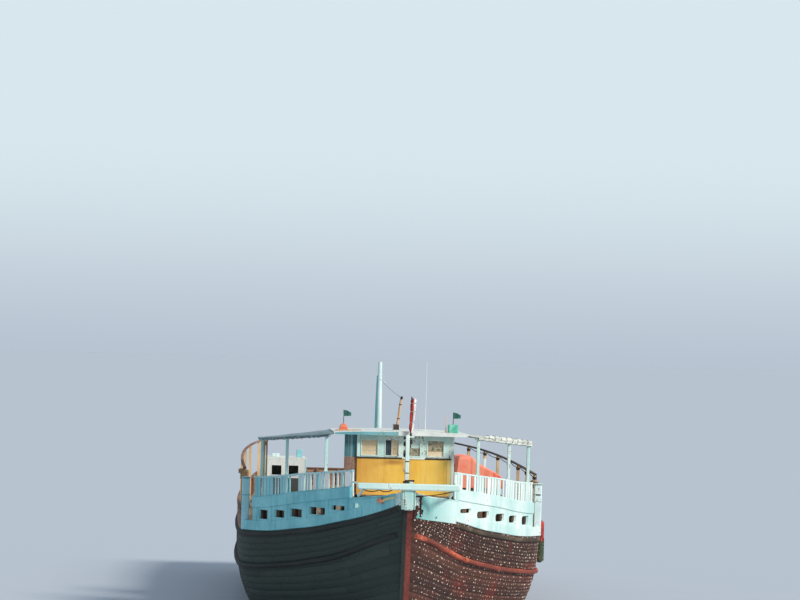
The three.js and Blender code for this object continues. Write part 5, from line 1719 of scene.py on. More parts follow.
chance = np.random.default_rng(31)
planks = Shape()
start, end, half, under = ROOF["start"], ROOF["end"], ROOF["half"], ROOF["under"]
for a, b in pairwise(np.linspace(-half, half, ROOF["planks"] + 1)):
    a, b = a + 0.002, b - 0.002
    first = start + chance.uniform(0, 0.012)
    rings = []
    for t in np.linspace(first, end - chance.uniform(0, 0.012), 8):
        ring = [(t, y, roof_top(y)) for y in (a, (a + b) / 2, b)]
        ring += [(t, y, roof_top(y) - ROOF["plank"]) for y in (b, (a + b) / 2, a)]
        rings.append(ring)
    planks.loft(rings)
planks.box((start + 0.032, end - 0.032), (-half + 0.032, half - 0.032), (under, under + 0.02), 0.004)
for side in (1, -1):
    edge = (side * (half - ROOF["board"]), side * (half - 0.001))
    planks.box((start, end), edge, (under, ROOF["edge"] - ROOF["plank"] - 0.001), 0.004)
inner = half - ROOF["board"]
front = (start + 0.004, start + 0.032)
roof_edge_board(planks, (-inner, inner), (end - ROOF["board"], end - 0.002))
roof_edge_board(planks, (-0.1, inner), front)
planks.piece("roof_planks", WHITE, replaces=["wheelhouse_roof"])
# Painted shade: the front board is dark teal to starboard, the side in shade, where to port the white
# planks show.
green = Shape()
roof_edge_board(green, (-inner, -0.103), front)
green.piece("roof_front_board", ROOF_EDGE_PAINT)


# Awning frames: squared rails on posts that stand on the balustrades, with rafters out from the roof.
# The starboard rail is bound with rope and shored by a bare two-piece prop aft.
AWNING = {"drop": 0.13, "rail": 0.076, "post": 0.1}
RAIL_RUN = ((3.51, 2.425), (5.7, 3.775), (7.215, 4.6), (8.24, 4.64), (8.24, 2.31))
AWNING_POSTS = (3.65, 5.7, 7.15)
RAFTERS = (4.35, 5.05, 5.75, 6.45, 7.15)
# Painted shade: the starboard rails are dark grey-teal, as they stand in shade under the canvas edge; to
# port they take the pale paint.
RAIL_EDGE_WOOD = timber(
    "awning_rail_timber", "turquoise_paint", tint(58, 78, 84), tint(98, 122, 128), tint(140, 164, 168)
)
awning_inner = line((3.42, 2.4), (3.9, 2.258), (8.3, 2.258))
awning_outer = line((3.42, 2.52), (5.64, 3.87), (7.12, 4.67), (7.2, 4.7), (8.3, 4.7))


def awning_low(y):
    """Height of the canvas's underside, which falls away from the roof."""
    return ROOF["edge"] - 0.05 - (abs(y) - ROOF["half"]) * AWNING["drop"]


def bind(ropes, start, end, half, pitch, wander=0.0):
    """Rope wound round a squared rail from one end to the other."""
    start, end = Vector(start), Vector(end)
    along = (end - start).normalized()
    aside = along.cross(Vector((0, 0, 1))).normalized()
    up = aside.cross(along)
    length = (end - start).length
    path = []
    for u in np.linspace(0, 1, int(length / pitch * 14)):
        angle = 2 * math.pi * (u * length / pitch + wander * math.sin(u * 17))
        reach = half * square_reach(angle, 4)
        round_it = aside * math.cos(angle) * reach + up * math.sin(angle) * reach
        path.append(start.lerp(end, float(u)) + round_it)
    ropes.run(path)


wound = Ropes()
for name, side in SIDES:
    outer, frame_wood = Shape(), Shape()
    nodes = [(t, side * y, awning_low(y + 0.04) - 0.041) for t, y in RAIL_RUN]
    for k, (a, b) in enumerate(pairwise(nodes)):
        rail = outer if k < 3 else frame_wood
        rail.beam(a, b, AWNING["rail"], AWNING["rail"], 0.012, tone=0.3)
    outer.piece("awning_rails_" + name, RAIL_EDGE_WOOD if side < 0 else PALE_TURQUOISE)
    for t in AWNING_POSTS:
        y = side * (breadth(t) - 0.055)
        low, top = rail_top(t) + 0.004, awning_low(abs(y) + 0.04) - 0.06
        half = AWNING["post"] / 2
        frame_wood.box((t - half, t + half), (y - half, y + half), (low, top), 0.014, tone=0.15)
        half += 0.01
        frame_wood.box((t - half, t + half), (y - half, y + half), (low, low + 0.05), 0.01)
    for t in RAFTERS:
        reach = awning_outer(t) - 0.06
        ends = [(t, side * y, awning_low(y) - 0.027) for y in (ROOF["half"] + 0.02, reach)]
        frame_wood.beam(*ends, 0.05, 0.045, 0.008, tone=0.2)
    frame_wood.piece("awning_posts_" + name, PALE_TURQUOISE, replaces=["awning_frame_" + name])
    if side < 0:
        bind(wound, nodes[0], nodes[1], 0.046, 0.34, 0.25)
        bind(wound, nodes[1], nodes[2], 0.046, 0.34, 0.25)
    else:
        bind(wound, nodes[2], Vector(nodes[2]).lerp(Vector(nodes[1]), 0.05), 0.046, 0.03)
wound.piece("awning_lashings", 0.013, PALE_ROPE)
prop = Shape()
for y in ((-4.49, -4.43), (-4.41, -4.35)):
    prop.box((8.205, 8.275), y, (sheer(8.24) + 0.014, awning_low(4.46) - 0.08), 0.01)
for z in (3.3, 4.6, 5.8):
    prop.box((8.215, 8.265), (-4.432, -4.408), (z, z + 0.14), 0.004, -0.3)
prop.piece("awning_prop", PALE_WOOD)


# Awnings: one cut of canvas on each side, laced to the roof's edge and stretched over the rails, with
# its hem turned down outside them. To port the spare length is rolled up along the rail.
def canvas(name, slot, clean, soiled, fold_and_shade):
    """Woven cloth. The piece's tone darkens it into its folds, as painted shade."""
    finish = Finish(name, slot, 0.9)
    patch = finish.noise(1.1, detail=4)
    stain = finish.between(finish.noise(2.6, detail=5), 0.46, 0.72)
    warp = finish.noise(170, (1, 0.05, 0.05), 1)
    weft = finish.noise(170, (0.05, 1, 1), 1)
    cloth = finish.blend(finish.blend(clean, soiled, stain), fold_and_shade, finish.own("tone"))
    relief = warp * 0.5 + weft * 0.5 + patch * 0.6
    return finish.surface(finish.blend(cloth, soiled, patch * 0.25), 0.78 + stain * 0.18, relief, 0.002)


def cloth_shape(grid, thick, tones=0.0):
    """A closed cloth of even thickness under a grid of points."""
    grid = np.array(grid, float)
    rows, columns = grid.shape[:2]
    facing = np.cross(np.gradient(grid, axis=0), np.gradient(grid, axis=1))
    facing /= np.linalg.norm(facing, axis=-1, keepdims=True)
    under = grid - facing * thick
    number = np.arange(rows * columns).reshape(rows, columns)
    below = number + rows * columns
    faces = []
    for i in range(rows - 1):
        for j in range(columns - 1):
            for n in (number, below):
                faces.append([n[i, j], n[i + 1, j], n[i + 1, j + 1], n[i, j + 1]])
    rim = [*zip(number[0], below[0])], [*zip(number[-1], below[-1])]
    rim += [*zip(number[:, 0], below[:, 0])], [*zip(number[:, -1], below[:, -1])]
    for edge in rim:
        for (a, b), (c, d) in pairwise(edge):
            faces.append([a, b, d, c])
    faces = [[int(i) for i in face] for face in faces]
    tones = np.broadcast_to(tones, grid.shape[:2]).reshape(-1)
    corners = np.concatenate([grid.reshape(-1, 3), under.reshape(-1, 3)])
    return Shape().add(corners, faces, np.tile(tones, 2))


def rumple(*place):
    """A steady unevenness between about -0.5 and 0.5."""
    return noise.noise(Vector(place))


# Painted shade: the starboard canvas is grey-teal, as that side stands in shade; to port the canvas is
# pale.
GREY_CLOTH = canvas(
    "grey_awning_canvas", "awning_canvas", tint(138, 160, 164), tint(98, 118, 122), tint(84, 104, 110)
)
AWNING_CLOTH = canvas(
    "awning_canvas", "awning_canvas", tint(222, 224, 214), tint(176, 178, 166), tint(150, 152, 144)
)
CUT = {"flat": (2.55, 4.95), "area": 8.2, "thick": 0.006, "hem": {"port": 0.05, "starboard": 0.012}}

for name, side in SIDES:
    grid, tones = [], []
    hem = CUT["hem"][name]
    for t in np.linspace(3.425, 8.295, 104):
        row, dark = [], []
        inner, outer = awning_inner(t), awning_outer(t) - 0.004
        bay = abs(math.sin(math.pi * (t - RAFTERS[0]) / (RAFTERS[1] - RAFTERS[0])))
        for v in np.linspace(0, 1, 22):
            y = inner + (outer - inner) * float(v)
            sag = 0.03 * bay * math.sin(math.pi * v) ** 0.7 * min(1, (outer - inner) / 1.2)
            uneven = 0.012 * rumple(t * 2.1, y * 3.2, side) + 0.008 * rumple(t * 6, y * 5, side + 4)
            row.append((t, side * y, awning_low(y) + 0.016 - sag + uneven))
            # Painted shade: the tone darkens the cloth where it sags between the rafters, and along the
            # hem.
            dark.append(min(1, sag * 12))
        wave = 0.012 * rumple(t * 4.5, 0, side * 3)
        edge = awning_low(outer)
        row.append((t, side * (outer + 0.002), edge - hem * 0.5 + wave))
        row.append((t, side * (outer + 0.001), edge - hem + wave * 2))
        dark += [0, 0.3]
        grid.append(row)
        tones.append(dark)
    shape = cloth_shape(grid if side > 0 else grid[::-1], CUT["thick"], tones)
    finish = AWNING_CLOTH if side > 0 else GREY_CLOTH
    cloth = shape.piece("awning_cloth_" + name, finish, replaces=["awning_" + name])
    rests = ["awning_rails_" + name, "awning_posts_" + name]

# The spare length, rolled up and tied down along the port rail, with its end hanging
ROLLED = {"thick": 0.074, "uneven": 0.036, "tie": 9}
ROLLED_END = [(7.12, 4.64, 6.17), (7.16, 4.66, 6.08), (7.17, 4.67, 5.98)]
rings, ties = [], Ropes()
path = []
for t in np.linspace(3.85, 7.05, 76):
    y = awning_outer(t) - 0.06
    path.append((t, y, awning_low(y) + 0.05 + 0.02 * rumple(t * 3, 1, 0)))
path += ROLLED_END
for i, (t, y, z) in enumerate(path):
    end = min(1, 0.35 + 0.13 * min(i, len(path) - 1 - i))
    size = (ROLLED["thick"] + ROLLED["uneven"] * rumple(t * 3.3, 2, 5)) * end
    along = Vector(path[min(i + 1, len(path) - 1)]) - Vector(path[max(i - 1, 0)])
    aside = along.cross(Vector((0.3, 0.2, 1))).normalized()
    up = aside.cross(along.normalized())
    ring = []
    for a in around(20):
        swell = 1 + 0.3 * rumple(math.cos(a) * 1.6, math.sin(a) * 1.6, t * 4)
        swell += 0.08 * math.sin(a * 4 + t * 5)
        ring.append(Vector((t, y, z)) + (aside * math.cos(a) + up * math.sin(a)) * size * swell)
    rings.append(ring)
    if i % ROLLED["tie"] == 5 and i < 72:
        turns = [aside * math.cos(a) + up * math.sin(a) for a in np.linspace(0, 2 * math.pi, 16)]
        ties.run([Vector((t, y, z)) + turn * (size + 0.012) for turn in turns])
rolled = Shape().loft(rings).piece("awning_roll", AWNING_CLOTH, crease=60)
ties.piece("awning_roll_ties", 0.008, TARRED_ROPE)


# On the roof: a signal spar stepped in a small box, a staff with its flag furled, a whip aerial, a
# bare pole, and two moulded floats with a pennant on a stick through each.
GEAR_T = 5.2
SPAR = {"y": -0.11, "foot": 6.6, "tip_y": 0.04, "tip": 7.64, "sides": 14}
SPAR_BOX = {"y": (-0.234, -0.036), "top": 6.7, "sides_top": 6.675}
DARK_WOOD = timber("dark_timber", "bulwark_timber", tint(34, 26, 22), tint(66, 50, 42), tint(98, 78, 66))
SPAR_WOOD = timber(
    "spar_timber", "pale_timber", tint(150, 112, 80), tint(200, 160, 122), tint(230, 198, 162), (8, 8, 1)
)

foot = roof_top(0.25) + 0.0006
box = Shape().box((5.082, 5.318), SPAR_BOX["y"], (foot, SPAR_BOX["top"]), 0.01)
box.piece("spar_box", DARK_WOOD, replaces=["signal_spar"])
sides = Shape()
for y in ((-0.25, -0.2345), (-0.0355, -0.02)):
    sides.box((5.08, 5.32), y, (foot, SPAR_BOX["sides_top"]), 0.004)
sides.box((5.08, 5.14), SPAR_BOX["y"], (foot, foot + 0.02), 0.004)
sides.piece("spar_box_sides", WHITE)
path, radii = [], []
for u in np.linspace(0, 1, 12):
    y = SPAR["y"] + (SPAR["tip_y"] - SPAR["y"]) * u + 0.008 * math.sin(6 * u)
    path.append((GEAR_T, y, SPAR["foot"] + (SPAR["tip"] - SPAR["foot"]) * u))
    radii.append(0.045 - 0.01 * u + 0.003 * math.sin(31 * u))
spar = Shape().tube(path, radii, SPAR["sides"])
spar.piece("signal_spar_pole", SPAR_WOOD)
iron = Shape()
for t, y, z in (path[3], path[8]):
    iron.tube([(t, y, z), (t, y + 0.004, z + 0.03)], 0.047, SPAR["sides"])
t, y, z = path[11]
iron.tube([path[10], path[11], (t, y, z + 0.006)], [0.04, 0.0385, 0.02], SPAR["sides"])
iron.piece("signal_spar_bands", IRON)

STAFF = {"t": 4.08, "y": 0.3, "low": 5.95, "top": 7.65}
FURLED = {"low": 6.45, "top": 7.6, "lean": 0.07, "thin": 0.066, "thick": 0.09}
FLAG_TIES = (0.3, 0.62, 0.86)  # shares of the way up the bundle


def flag_finish():
    """Two colours, changed over by the piece's tone, each darkened along the creases as painted shade."""
    finish = Finish("flag_cloth", "flag_cloth", 0.85)
    crease = finish.noise(16, (1, 1, 0.25), 4)
    weave = finish.noise(220, detail=1)
    red = finish.blend(tint(138, 34, 36), tint(206, 66, 60), finish.between(crease, 0.4, 0.62))
    white = finish.blend(tint(206, 206, 202), tint(246, 244, 240), finish.between(crease, 0.4, 0.6))
    colour = finish.blend(red, white, finish.between(finish.own("tone"), 0.42, 0.58))
    return finish.surface(colour, 0.75 + crease * 0.2, crease + weave * 0.1, 0.004)


def on_bundle(s):
    """Half the thickness of the furled flag, and its height, at a share of the way up."""
    size = FURLED["thin"] + (FURLED["thick"] - FURLED["thin"]) * s
    return size, FURLED["low"] + (FURLED["top"] - FURLED["low"]) * s


t, y, top = STAFF["t"], STAFF["y"], STAFF["top"]
staff, iron = Shape(), Shape()
staff.upright(t, y, np.linspace(STAFF["low"], top, 8), [0.028 - 0.001 * k for k in range(8)])
staff.upright(t, y, (top - 0.002, top, top + 0.012), [0.03, 0.034, 0.012])
staff.piece("flag_staff", DARK_WOOD, replaces=["flagstaff"])
iron.box((t, ROOF["start"] + 0.003), (y - 0.02, y + 0.02), (6.39, 6.42), 0.004)
for z in (6.37, 6.42):
    iron.upright(t, y, (z, z + 0.012, z + 0.024), 0.036, 14)
iron.piece("flag_staff_bracket", IRON)
rings, tones = [], []
for s in np.linspace(0, 1, 40):
    size, z = on_bundle(s)
    size *= 1 - 0.55 * max(0, 1 - s / 0.12) - 0.4 * max(0, (s - 0.93) / 0.07)
    for tie in FLAG_TIES:
        size *= 1 - 0.2 * math.exp(-((s - tie) / 0.03) ** 2)
    ring = []
    for a in around(44):
        uneven = 0.2 * rumple(2 * math.cos(a), 2 * math.sin(a), 5 * s)
        pleat = 1 + 0.15 * math.sin(5 * a + 3 * s) + 0.1 * math.sin(9 * a - 5 * s) + uneven
        reach = size * pleat
        ring.append((t + reach * math.cos(a), y + FURLED["lean"] * s + reach * math.sin(a), z))
        tones.append(1.0 if math.sin(a + 0.3 * math.sin(3 * s)) > -0.05 else 0.0)
    rings.append(ring)
bundle = Shape().loft(rings, tones).piece("furled_flag", flag_finish(), crease=70)
ties = Ropes()
for s in FLAG_TIES:
    size, z = on_bundle(s)
    ties.turns((t, y + FURLED["lean"] * s, z - 0.01), (size * 0.98, size * 0.98), 2, 0.012, 18)
ties.run([(t, y + 0.03, 7.62), (t, y + 0.2, 7.2), (t, y + 0.24, 6.8), (t + 0.1, y + 0.26, 6.52)])
ties.piece("flag_ties", 0.006, PALE_ROPE)

WHIP = {
    "y": 0.85, "heights": (7.2, 7.9, 8.4, 8.82), "radii": (0.02, 0.02, 0.015, 0.014, 0.013, 0.012, 0.01),
    "rings": 6,
}
POLE_Y = 1.545

foot = roof_top(0.87) + 0.0006
whip = Shape().box((GEAR_T - 0.035, GEAR_T + 0.035), (0.815, 0.885), (foot, foot + 0.03), 0.006)
whip.upright(GEAR_T, WHIP["y"], (foot + 0.02, foot + 0.1, foot + 0.2, *WHIP["heights"]), WHIP["radii"])
for k in range(WHIP["rings"]):
    z = foot + 0.05 + 0.02 * k
    whip.upright(GEAR_T, WHIP["y"], (z, z + 0.005, z + 0.01), [0.02, 0.027, 0.02])
whip.piece("whip_aerial", WHITE, replaces=["antenna"])
foot = roof_top(1.6) + 0.0006
pole = Shape()
pole.box((GEAR_T - 0.04, GEAR_T + 0.04), (POLE_Y - 0.04, POLE_Y + 0.04), (foot, foot + 0.05), 0.008)
path = [(GEAR_T, POLE_Y, foot + 0.04), (GEAR_T, POLE_Y - 0.002, 6.8), (GEAR_T, POLE_Y - 0.005, 7.07)]
pole.tube(path, [0.016, 0.015, 0.013])
pole.piece("roof_pole", PALE_WOOD)


def moulded(name, fresh, faded):
    """Moulded plastic, chalky where it has faded and scuffed."""
    finish = Finish(name, "fender_skin", 0.45)
    chalk = finish.between(finish.noise(5, detail=4), 0.42, 0.66)
    scuff = finish.between(finish.noise(26, detail=3), 0.6, 0.68)
    colour = finish.blend(finish.blend(fresh, faded, chalk), GRIME, scuff * 0.6)
    return finish.surface(colour, 0.4 + chalk * 0.25 + scuff * 0.2, scuff, 0.001)


ORANGE = moulded("orange_plastic", tint(222, 104, 66), tint(244, 164, 130))
JADE = moulded("green_plastic", tint(84, 178, 152), tint(140, 210, 190))
PENNANT_CLOTH = canvas("pennant_cloth", "flag_cloth", tint(34, 92, 82), tint(52, 108, 96), tint(20, 62, 58))
FLOATS = (  # side, y, colour, how much narrower it is at the top, height of the body
    ("starboard", -1.9, ORANGE, 0.5, 0.22),
    ("port", 1.79, JADE, 0.96, 0.28),
)
FLOAT = {"long": 0.15, "wide": 0.175, "cut": 0.035}  # half of its foot, and its cut corners
FLOAT_RINGS = ((0, 0.93), (0.02, 1), (0.085, 1), (0.1, 0.965), (0.115, 1))  # height, how wide
PENNANT = {"top": 7.14, "reach": 0.245, "deep": 0.2, "droop": 0.07, "thick": 0.003}
SLATS = ((5.0, -2.2, -1.45), (5.04, -2.05, -1.3), (5.42, -2.15, -1.5))  # t, and y of both ends

for name, y, plastic, narrow, tall in FLOATS:
    foot = roof_top(abs(y) + 0.17) + 0.001
    rings = []
    for z, grow in (*FLOAT_RINGS, (0.9 * tall, 1), (tall, 0.9)):
        size = grow * (1 + (narrow - 1) * z / tall)
        a, b, cut = FLOAT["long"] * size, FLOAT["wide"] * size, FLOAT["cut"]
        corners = (
            (a, b - cut), (a - cut, b), (cut - a, b), (-a, b - cut),
            (-a, cut - b), (cut - a, -b), (a - cut, -b), (a, cut - b),
        )
        rings.append([(GEAR_T + u, y + w, foot + z) for u, w in corners])
    top = foot + tall
    body = Shape().loft(rings).upright(GEAR_T, y, (top - 0.004, top + 0.02, top + 0.03), [0.05, 0.04, 0.02])
    body.piece("float_" + name, plastic, replaces=["marker_float_" + name])
    stick = Shape().tube([(GEAR_T, y, top - 0.05), (GEAR_T, y + 0.004, 6.95), (GEAR_T, y, 7.15)], 0.012)
    stick.piece("float_stick_" + name, DARK_WOOD)
    grid = []
    for u in np.linspace(0, 1, 18):
        reach = y + 0.008 + PENNANT["reach"] * u
        high = PENNANT["top"] - PENNANT["droop"] * u ** 1.5
        deep = PENNANT["deep"] * (1 - 0.35 * u)
        sway = 0.02 * math.sin(7 * u) * u
        column = [high - deep * v + 0.01 * math.sin(5 * u + 3 * v) for v in np.linspace(0, 1, 10)]
        grid.append([(GEAR_T + sway, reach, z) for z in column])
    pennant = cloth_shape(grid, PENNANT["thick"]).piece("pennant_" + name, PENNANT_CLOTH, crease=60)
    "float_stick_" + name
slats = Shape()
for k, (t, a, b) in enumerate(SLATS):
    slats.beam(*((t, y, roof_top(y) + 0.016) for y in (a, b)), 0.05, 0.026, 0.005, tone=0.2 * k - 0.2)
slats.piece("roof_slats", SPAR_WOOD)


# Cargo hatch: a coaming of heavy planks on the main deck, and a boarded lid that hinges at its after
# edge on a long barrel between two iron lugs.
HATCH = {
    "start": 11.0, "end": 14.8, "half": 1.5, "wall": 0.08, "top": 3.5, "hinge": 14.9, "hinge_z": 3.545,
    "joint": 0.3, "knee": 0.7, "boards": 20,
}
HANDLE = ((11.1, -0.06, 3.56), (11.06, -0.05, 3.61), (11.06, 0.05, 3.61), (11.1, 0.06, 3.56))

coaming, iron = Shape(), Shape()
foot = sheer(11.0) + 0.001
a, b, half, wall = HATCH["start"], HATCH["end"], HATCH["half"], HATCH["wall"]
for level in ((foot, foot + HATCH["joint"]), (foot + HATCH["joint"] + 0.003, HATCH["top"] - 0.001)):
    for t in ((a, a + wall), (b - wall, b)):
        coaming.box(t, (-half, half), level, 0.01, 0.2)
    for y in ((-half, -half + wall), (half - wall, half)):
        coaming.box((a + wall + 0.001, b - wall - 0.001), y, level, 0.01, -0.1)
for t in np.arange(a + 0.5, b - 0.3, HATCH["knee"]):
    for side in (1, -1):
        low, high = (t, side * (half + 0.04), foot), (t, side * (half + 0.025), 3.3)
        coaming.beam(low, high, 0.08, 0.07, 0.01, 0.4)
coaming.piece("hatch_coaming_planks", PALE_WOOD, replaces=["hatch_coaming"])
for side in (1, -1):
    iron.box((b - 0.02, HATCH["hinge"] + 0.04), (side * 0.4004, side * 0.4604), (3.3, 3.58), 0.008)
    for t in (a - 0.006, b - wall - 0.02):
        iron.box((t, t + wall + 0.026), (side * (half - 0.1), side * (half + 0.006)), (3.1, 3.18), 0.004)
iron.piece("hatch_irons", IRON)
lid, bars = Shape(), Shape()
chance = np.random.default_rng(37)
for p, q in pairwise(np.linspace(a - 0.04, b - 0.02, HATCH["boards"] + 1)):
    wide = 1.54 - chance.uniform(0, 0.008)
    lid.box((p + 0.002, q - 0.002), (-wide, wide), (3.515, 3.562), 0.006, chance.uniform(-0.2, 0.2))
for y in (-1.2, -0.35, 0.35, 1.2):
    lid.box((a, b - 0.04), (y - 0.08, y + 0.08), (3.5625, 3.59), 0.008, -0.1)
    lid.box((a + 0.1, b - 0.1), (y - 0.06, y + 0.06), (3.5008, 3.5145), 0.004, -0.2)
lid.piece("hatch_lid_boards", DECK_WOOD, "hatch_cover", ["hatch_cover"])
z = HATCH["hinge_z"]
bars.box((b - 0.06, HATCH["hinge"]), (-0.3, 0.3), (z - 0.012, z + 0.012), 0.003)
bars.tube([(HATCH["hinge"], y, z) for y in (-0.399, 0, 0.399)], 0.03, 16)
for middle in (-0.9, 0.9):
    bars.tube([(t, middle + y, z) for t, y, z in HANDLE], 0.01, 8)
bars.piece("hatch_lid_irons", IRON, "hatch_cover")


# Galley house: boarded walls, white above and dark below, with two unglazed openings forward, a
# ledged door to port and a boarded roof with two chests on it.
GALLEY = {"start": 11.2, "end": 13.2, "low": -4.4, "high": -2.9, "top": 5.3, "roof": 0.06, "hinge": 11.84}
GALLEY_DOOR = (11.9, 12.55, 2.97, 4.75)
GALLEY_WINDOWS = ((-4.15, -3.75, 4.65, 5.05), (-3.55, -3.15, 4.65, 5.05))
DARK_FOOT_TOP = 4.58
CHESTS = (  # t, y, top, tone
    ((11.5, 11.8), (-4.12, -3.85), 5.43, 0.7),
    ((11.6, 11.9), (-3.24, -3.03), 5.58, 0.1),
)


def dark_foot_shade(finish):
    """Painted shade: dark on the foot of the walls, up to the openings, for the dark space seen between the
    balustrade boards.
    """
    edge = (finish.noise(4, detail=3) - 0.5) * 0.02
    return 1 - finish.between(finish.part("Z") + edge, DARK_FOOT_TOP - 0.005, DARK_FOOT_TOP + 0.005)


# The galley paint lays the painted shade on the foot of the walls.
GALLEY_PAINT = painted(
    "galley_paint", *WHITES, "white_paint", chipped=0.66, shade_mark=(dark_foot_shade, tint(44, 42, 40), 0.94)
)


def boarded_box(shape, house, foot, top, windows, doors, chance):
    """Four boarded walls, with windows forward and a door to port."""
    a, b, low, high = (house[key] for key in ("start", "end", "low", "high"))
    inside = (a + HOUSE["wall"] + 0.001, b - HOUSE["wall"] - 0.001)
    board_wall(shape, ("across", a, -1), (low, high), (foot, top), windows, chance)
    board_wall(shape, ("across", b, 1), (low, high), (foot, top), (), chance)
    board_wall(shape, ("along", high, 1), inside, (foot, top), doors, chance)
    board_wall(shape, ("along", low, -1), inside, (foot, top), (), chance)


def corner_trims(shape, house, out, levels, tone):
    """Battens up the four corners of a boarded box."""
    for t in (house["start"] - out, house["end"] - 0.06 + out):
        for y in (house["low"] - 0.004, house["high"] - 0.056):
            shape.box((t, t + 0.06), (y, y + 0.06), levels, 0.006, tone)


a, b, low, high = (GALLEY[key] for key in ("start", "end", "low", "high"))
foot, top = sheer(12.2) + 0.03, GALLEY["top"] - GALLEY["roof"]
walls, trim = Shape(), Shape()
boarded_box(walls, GALLEY, foot, top, GALLEY_WINDOWS, (GALLEY_DOOR,), np.random.default_rng(41))
for window in GALLEY_WINDOWS:
    window_frame(walls, ("across", a, -1), window[:2], window[2:], 0.03, (-0.05, 0.008))
for p, q in pairwise(np.linspace(low, high, 9)):
    walls.box((a, b), (p + 0.001, q - 0.001), (top + 0.0005, GALLEY["top"]), 0.006)
walls.piece("galley_boards", GALLEY_PAINT, replaces=["galley_house"])
corner_trims(trim, GALLEY, 0.006, (foot, top), 0.2)
trim.box((a - 0.008, a - 0.0005), (low + 0.06, high - 0.06), (foot, foot + 0.14), 0.003)
trim.piece("galley_trim", PALE_TURQUOISE)
lugs, leaf, iron = Shape(), Shape(), Shape()
leaf_low, leaf_top, end = GALLEY_DOOR[2] - 0.03, GALLEY_DOOR[3] + 0.02, GALLEY_DOOR[1] + 0.03
hinge_lugs(lugs, GALLEY["hinge"], high, 1, leaf_low, leaf_top)
lugs.piece("galley_lugs", IRON)
door_leaf(leaf, iron, GALLEY["hinge"], 11.865, end, leaf_low, leaf_top, high, 1, None, end - 0.08)
leaf.piece("galley_door_boards", GALLEY_PAINT, "galley_door", ["galley_door"])
iron.piece("galley_door_irons", IRON, "galley_door")
chests = Shape()
for t, y, level, tone in CHESTS:
    chests.box(t, y, (GALLEY["top"] + 0.001, level), 0.02, tone)
chests.piece("galley_chests", TURQUOISE)


# Deck locker and its tarpaulin: a boarded chest to port, with one cloth thrown over the heap on its lid
# and hanging to its sides, creased where it gathers and darkened in the creases as painted shade.
LOCKER = {"start": 12.9, "end": 14.9, "low": 2.7, "high": 4.1, "top": 4.75}

chest = Shape()
foot, top = sheer(13.9) + 0.02, LOCKER["top"]
boarded_box(chest, LOCKER, foot, top - 0.05, (), (), np.random.default_rng(43))
chest.box((LOCKER["start"], LOCKER["end"]), (LOCKER["low"], LOCKER["high"]), (top - 0.0495, top), 0.01, 0.1)
corner_trims(chest, LOCKER, 0.004, (foot, top - 0.06), -0.4)
chest.piece("locker_boards", BULWARK_WOOD, replaces=["deck_locker"])

HEAP = (  # y and z of the cloth over the heap, from hem to hem
    (2.588, 4.3), (2.592, 4.7), (2.61, 5.2), (2.63, 5.37), (2.7, 5.425), (2.95, 5.43), (3.17, 5.41),
    (3.25, 5.33), (3.33, 5.2), (3.6, 5.07), (4.0, 4.87), (4.2, 4.77), (4.25, 4.68), (4.29, 4.5),
    (4.298, 4.3),
)
HEAP_MIDDLE = np.array((3.4, 4.9))
TARPAULIN = {
    "start": 12.802, "end": 14.998, "middle": 13.9, "hem": 4.31, "thick": 0.008, "flat": (3.6, 3.8),
}
TARPAULIN_CLOTH = canvas(
    "tarpaulin_cloth", "tarpaulin_cloth", tint(255, 162, 134), tint(254, 114, 86), tint(204, 54, 42)
)


def drape(t, share, y, z):
    """Where a point of the tarpaulin hangs, and how much painted shade its fold gets. The share is how far
    down.
    """
    drop = max(0.0, z - TARPAULIN["hem"]) * share
    crease = abs(rumple(t * 1.9, y * 1.5, z * 1.3 + 7)) + 0.5 * abs(rumple(t * 4.3, y * 4, z * 4))
    fold_and_shade = max(0.0, 1 - crease * 5)
    outward = np.array((y, z)) - HEAP_MIDDLE
    outward = outward / np.linalg.norm(outward)
    gather = math.sin(11 * t + 4 * y + 6 * rumple(t * 0.9, y, z * 0.7)) * (0.4 + rumple(t, y, 5) * 0.8)
    depth = 0.05 * fold_and_shade + 0.045 * rumple(t * 2.2, y * 2.6, z * 2) + 0.028 * gather
    depth *= 1 if z - drop > TARPAULIN["hem"] + 0.05 else 0.3
    if share:
        end = 1 if t < TARPAULIN["middle"] else -1
        push = 0.03 * rumple(y * 5, z * 2, 0 if end > 0 else 1)
        t += end * (0.02 - 0.5 * (push + 0.02) * share)
    if share < 0.99:
        y, z = y - outward[0] * depth, z - outward[1] * depth
    return (t, y, z - drop), min(1, fold_and_shade * 0.8 + max(0, gather) * 0.7)


outline = np.array(HEAP)
lengths = np.concatenate([[0], np.cumsum(np.linalg.norm(np.diff(outline, axis=0), axis=1))])
along = np.linspace(0, lengths[-1], 92)
profile = np.stack([np.interp(along, lengths, outline[:, k]) for k in (0, 1)], axis=1)
rounded = profile.copy()
rounded[1:-1] = (profile[:-2] + 2 * profile[1:-1] + profile[2:]) / 4
start, end = TARPAULIN["start"], TARPAULIN["end"]
stations = [(start, share) for share in np.linspace(1, 0.06, 16)]
stations += [(t, 0.0) for t in np.linspace(start + 0.05, end - 0.05, 62)]
stations += [(end, share) for share in np.linspace(0.06, 1, 16)]
hung = [[drape(t, share, y, z) for y, z in rounded] for t, share in stations]
grid = [[place for place, _ in row] for row in hung]
tones = [[dark for _, dark in row] for row in hung]
cover = cloth_shape(grid, TARPAULIN["thick"], tones)
cover = cover.piece("tarpaulin_cover", TARPAULIN_CLOTH, replaces=["tarpaulin"], crease=60)


# Mast: a tapered pole painted pale, wedged in a step on the deck, with a thin teal pole beside its
# upper part that is painted shade for the mast's shaded side, a cleat near the head and a wire stay led
# forward to the signal spar.
MAST = {"t": 17.5, "foot": 0.15, "head": 0.075, "top": 8.76, "step": 0.2, "rise": 0.3, "bands": (3.6, 6.2)}
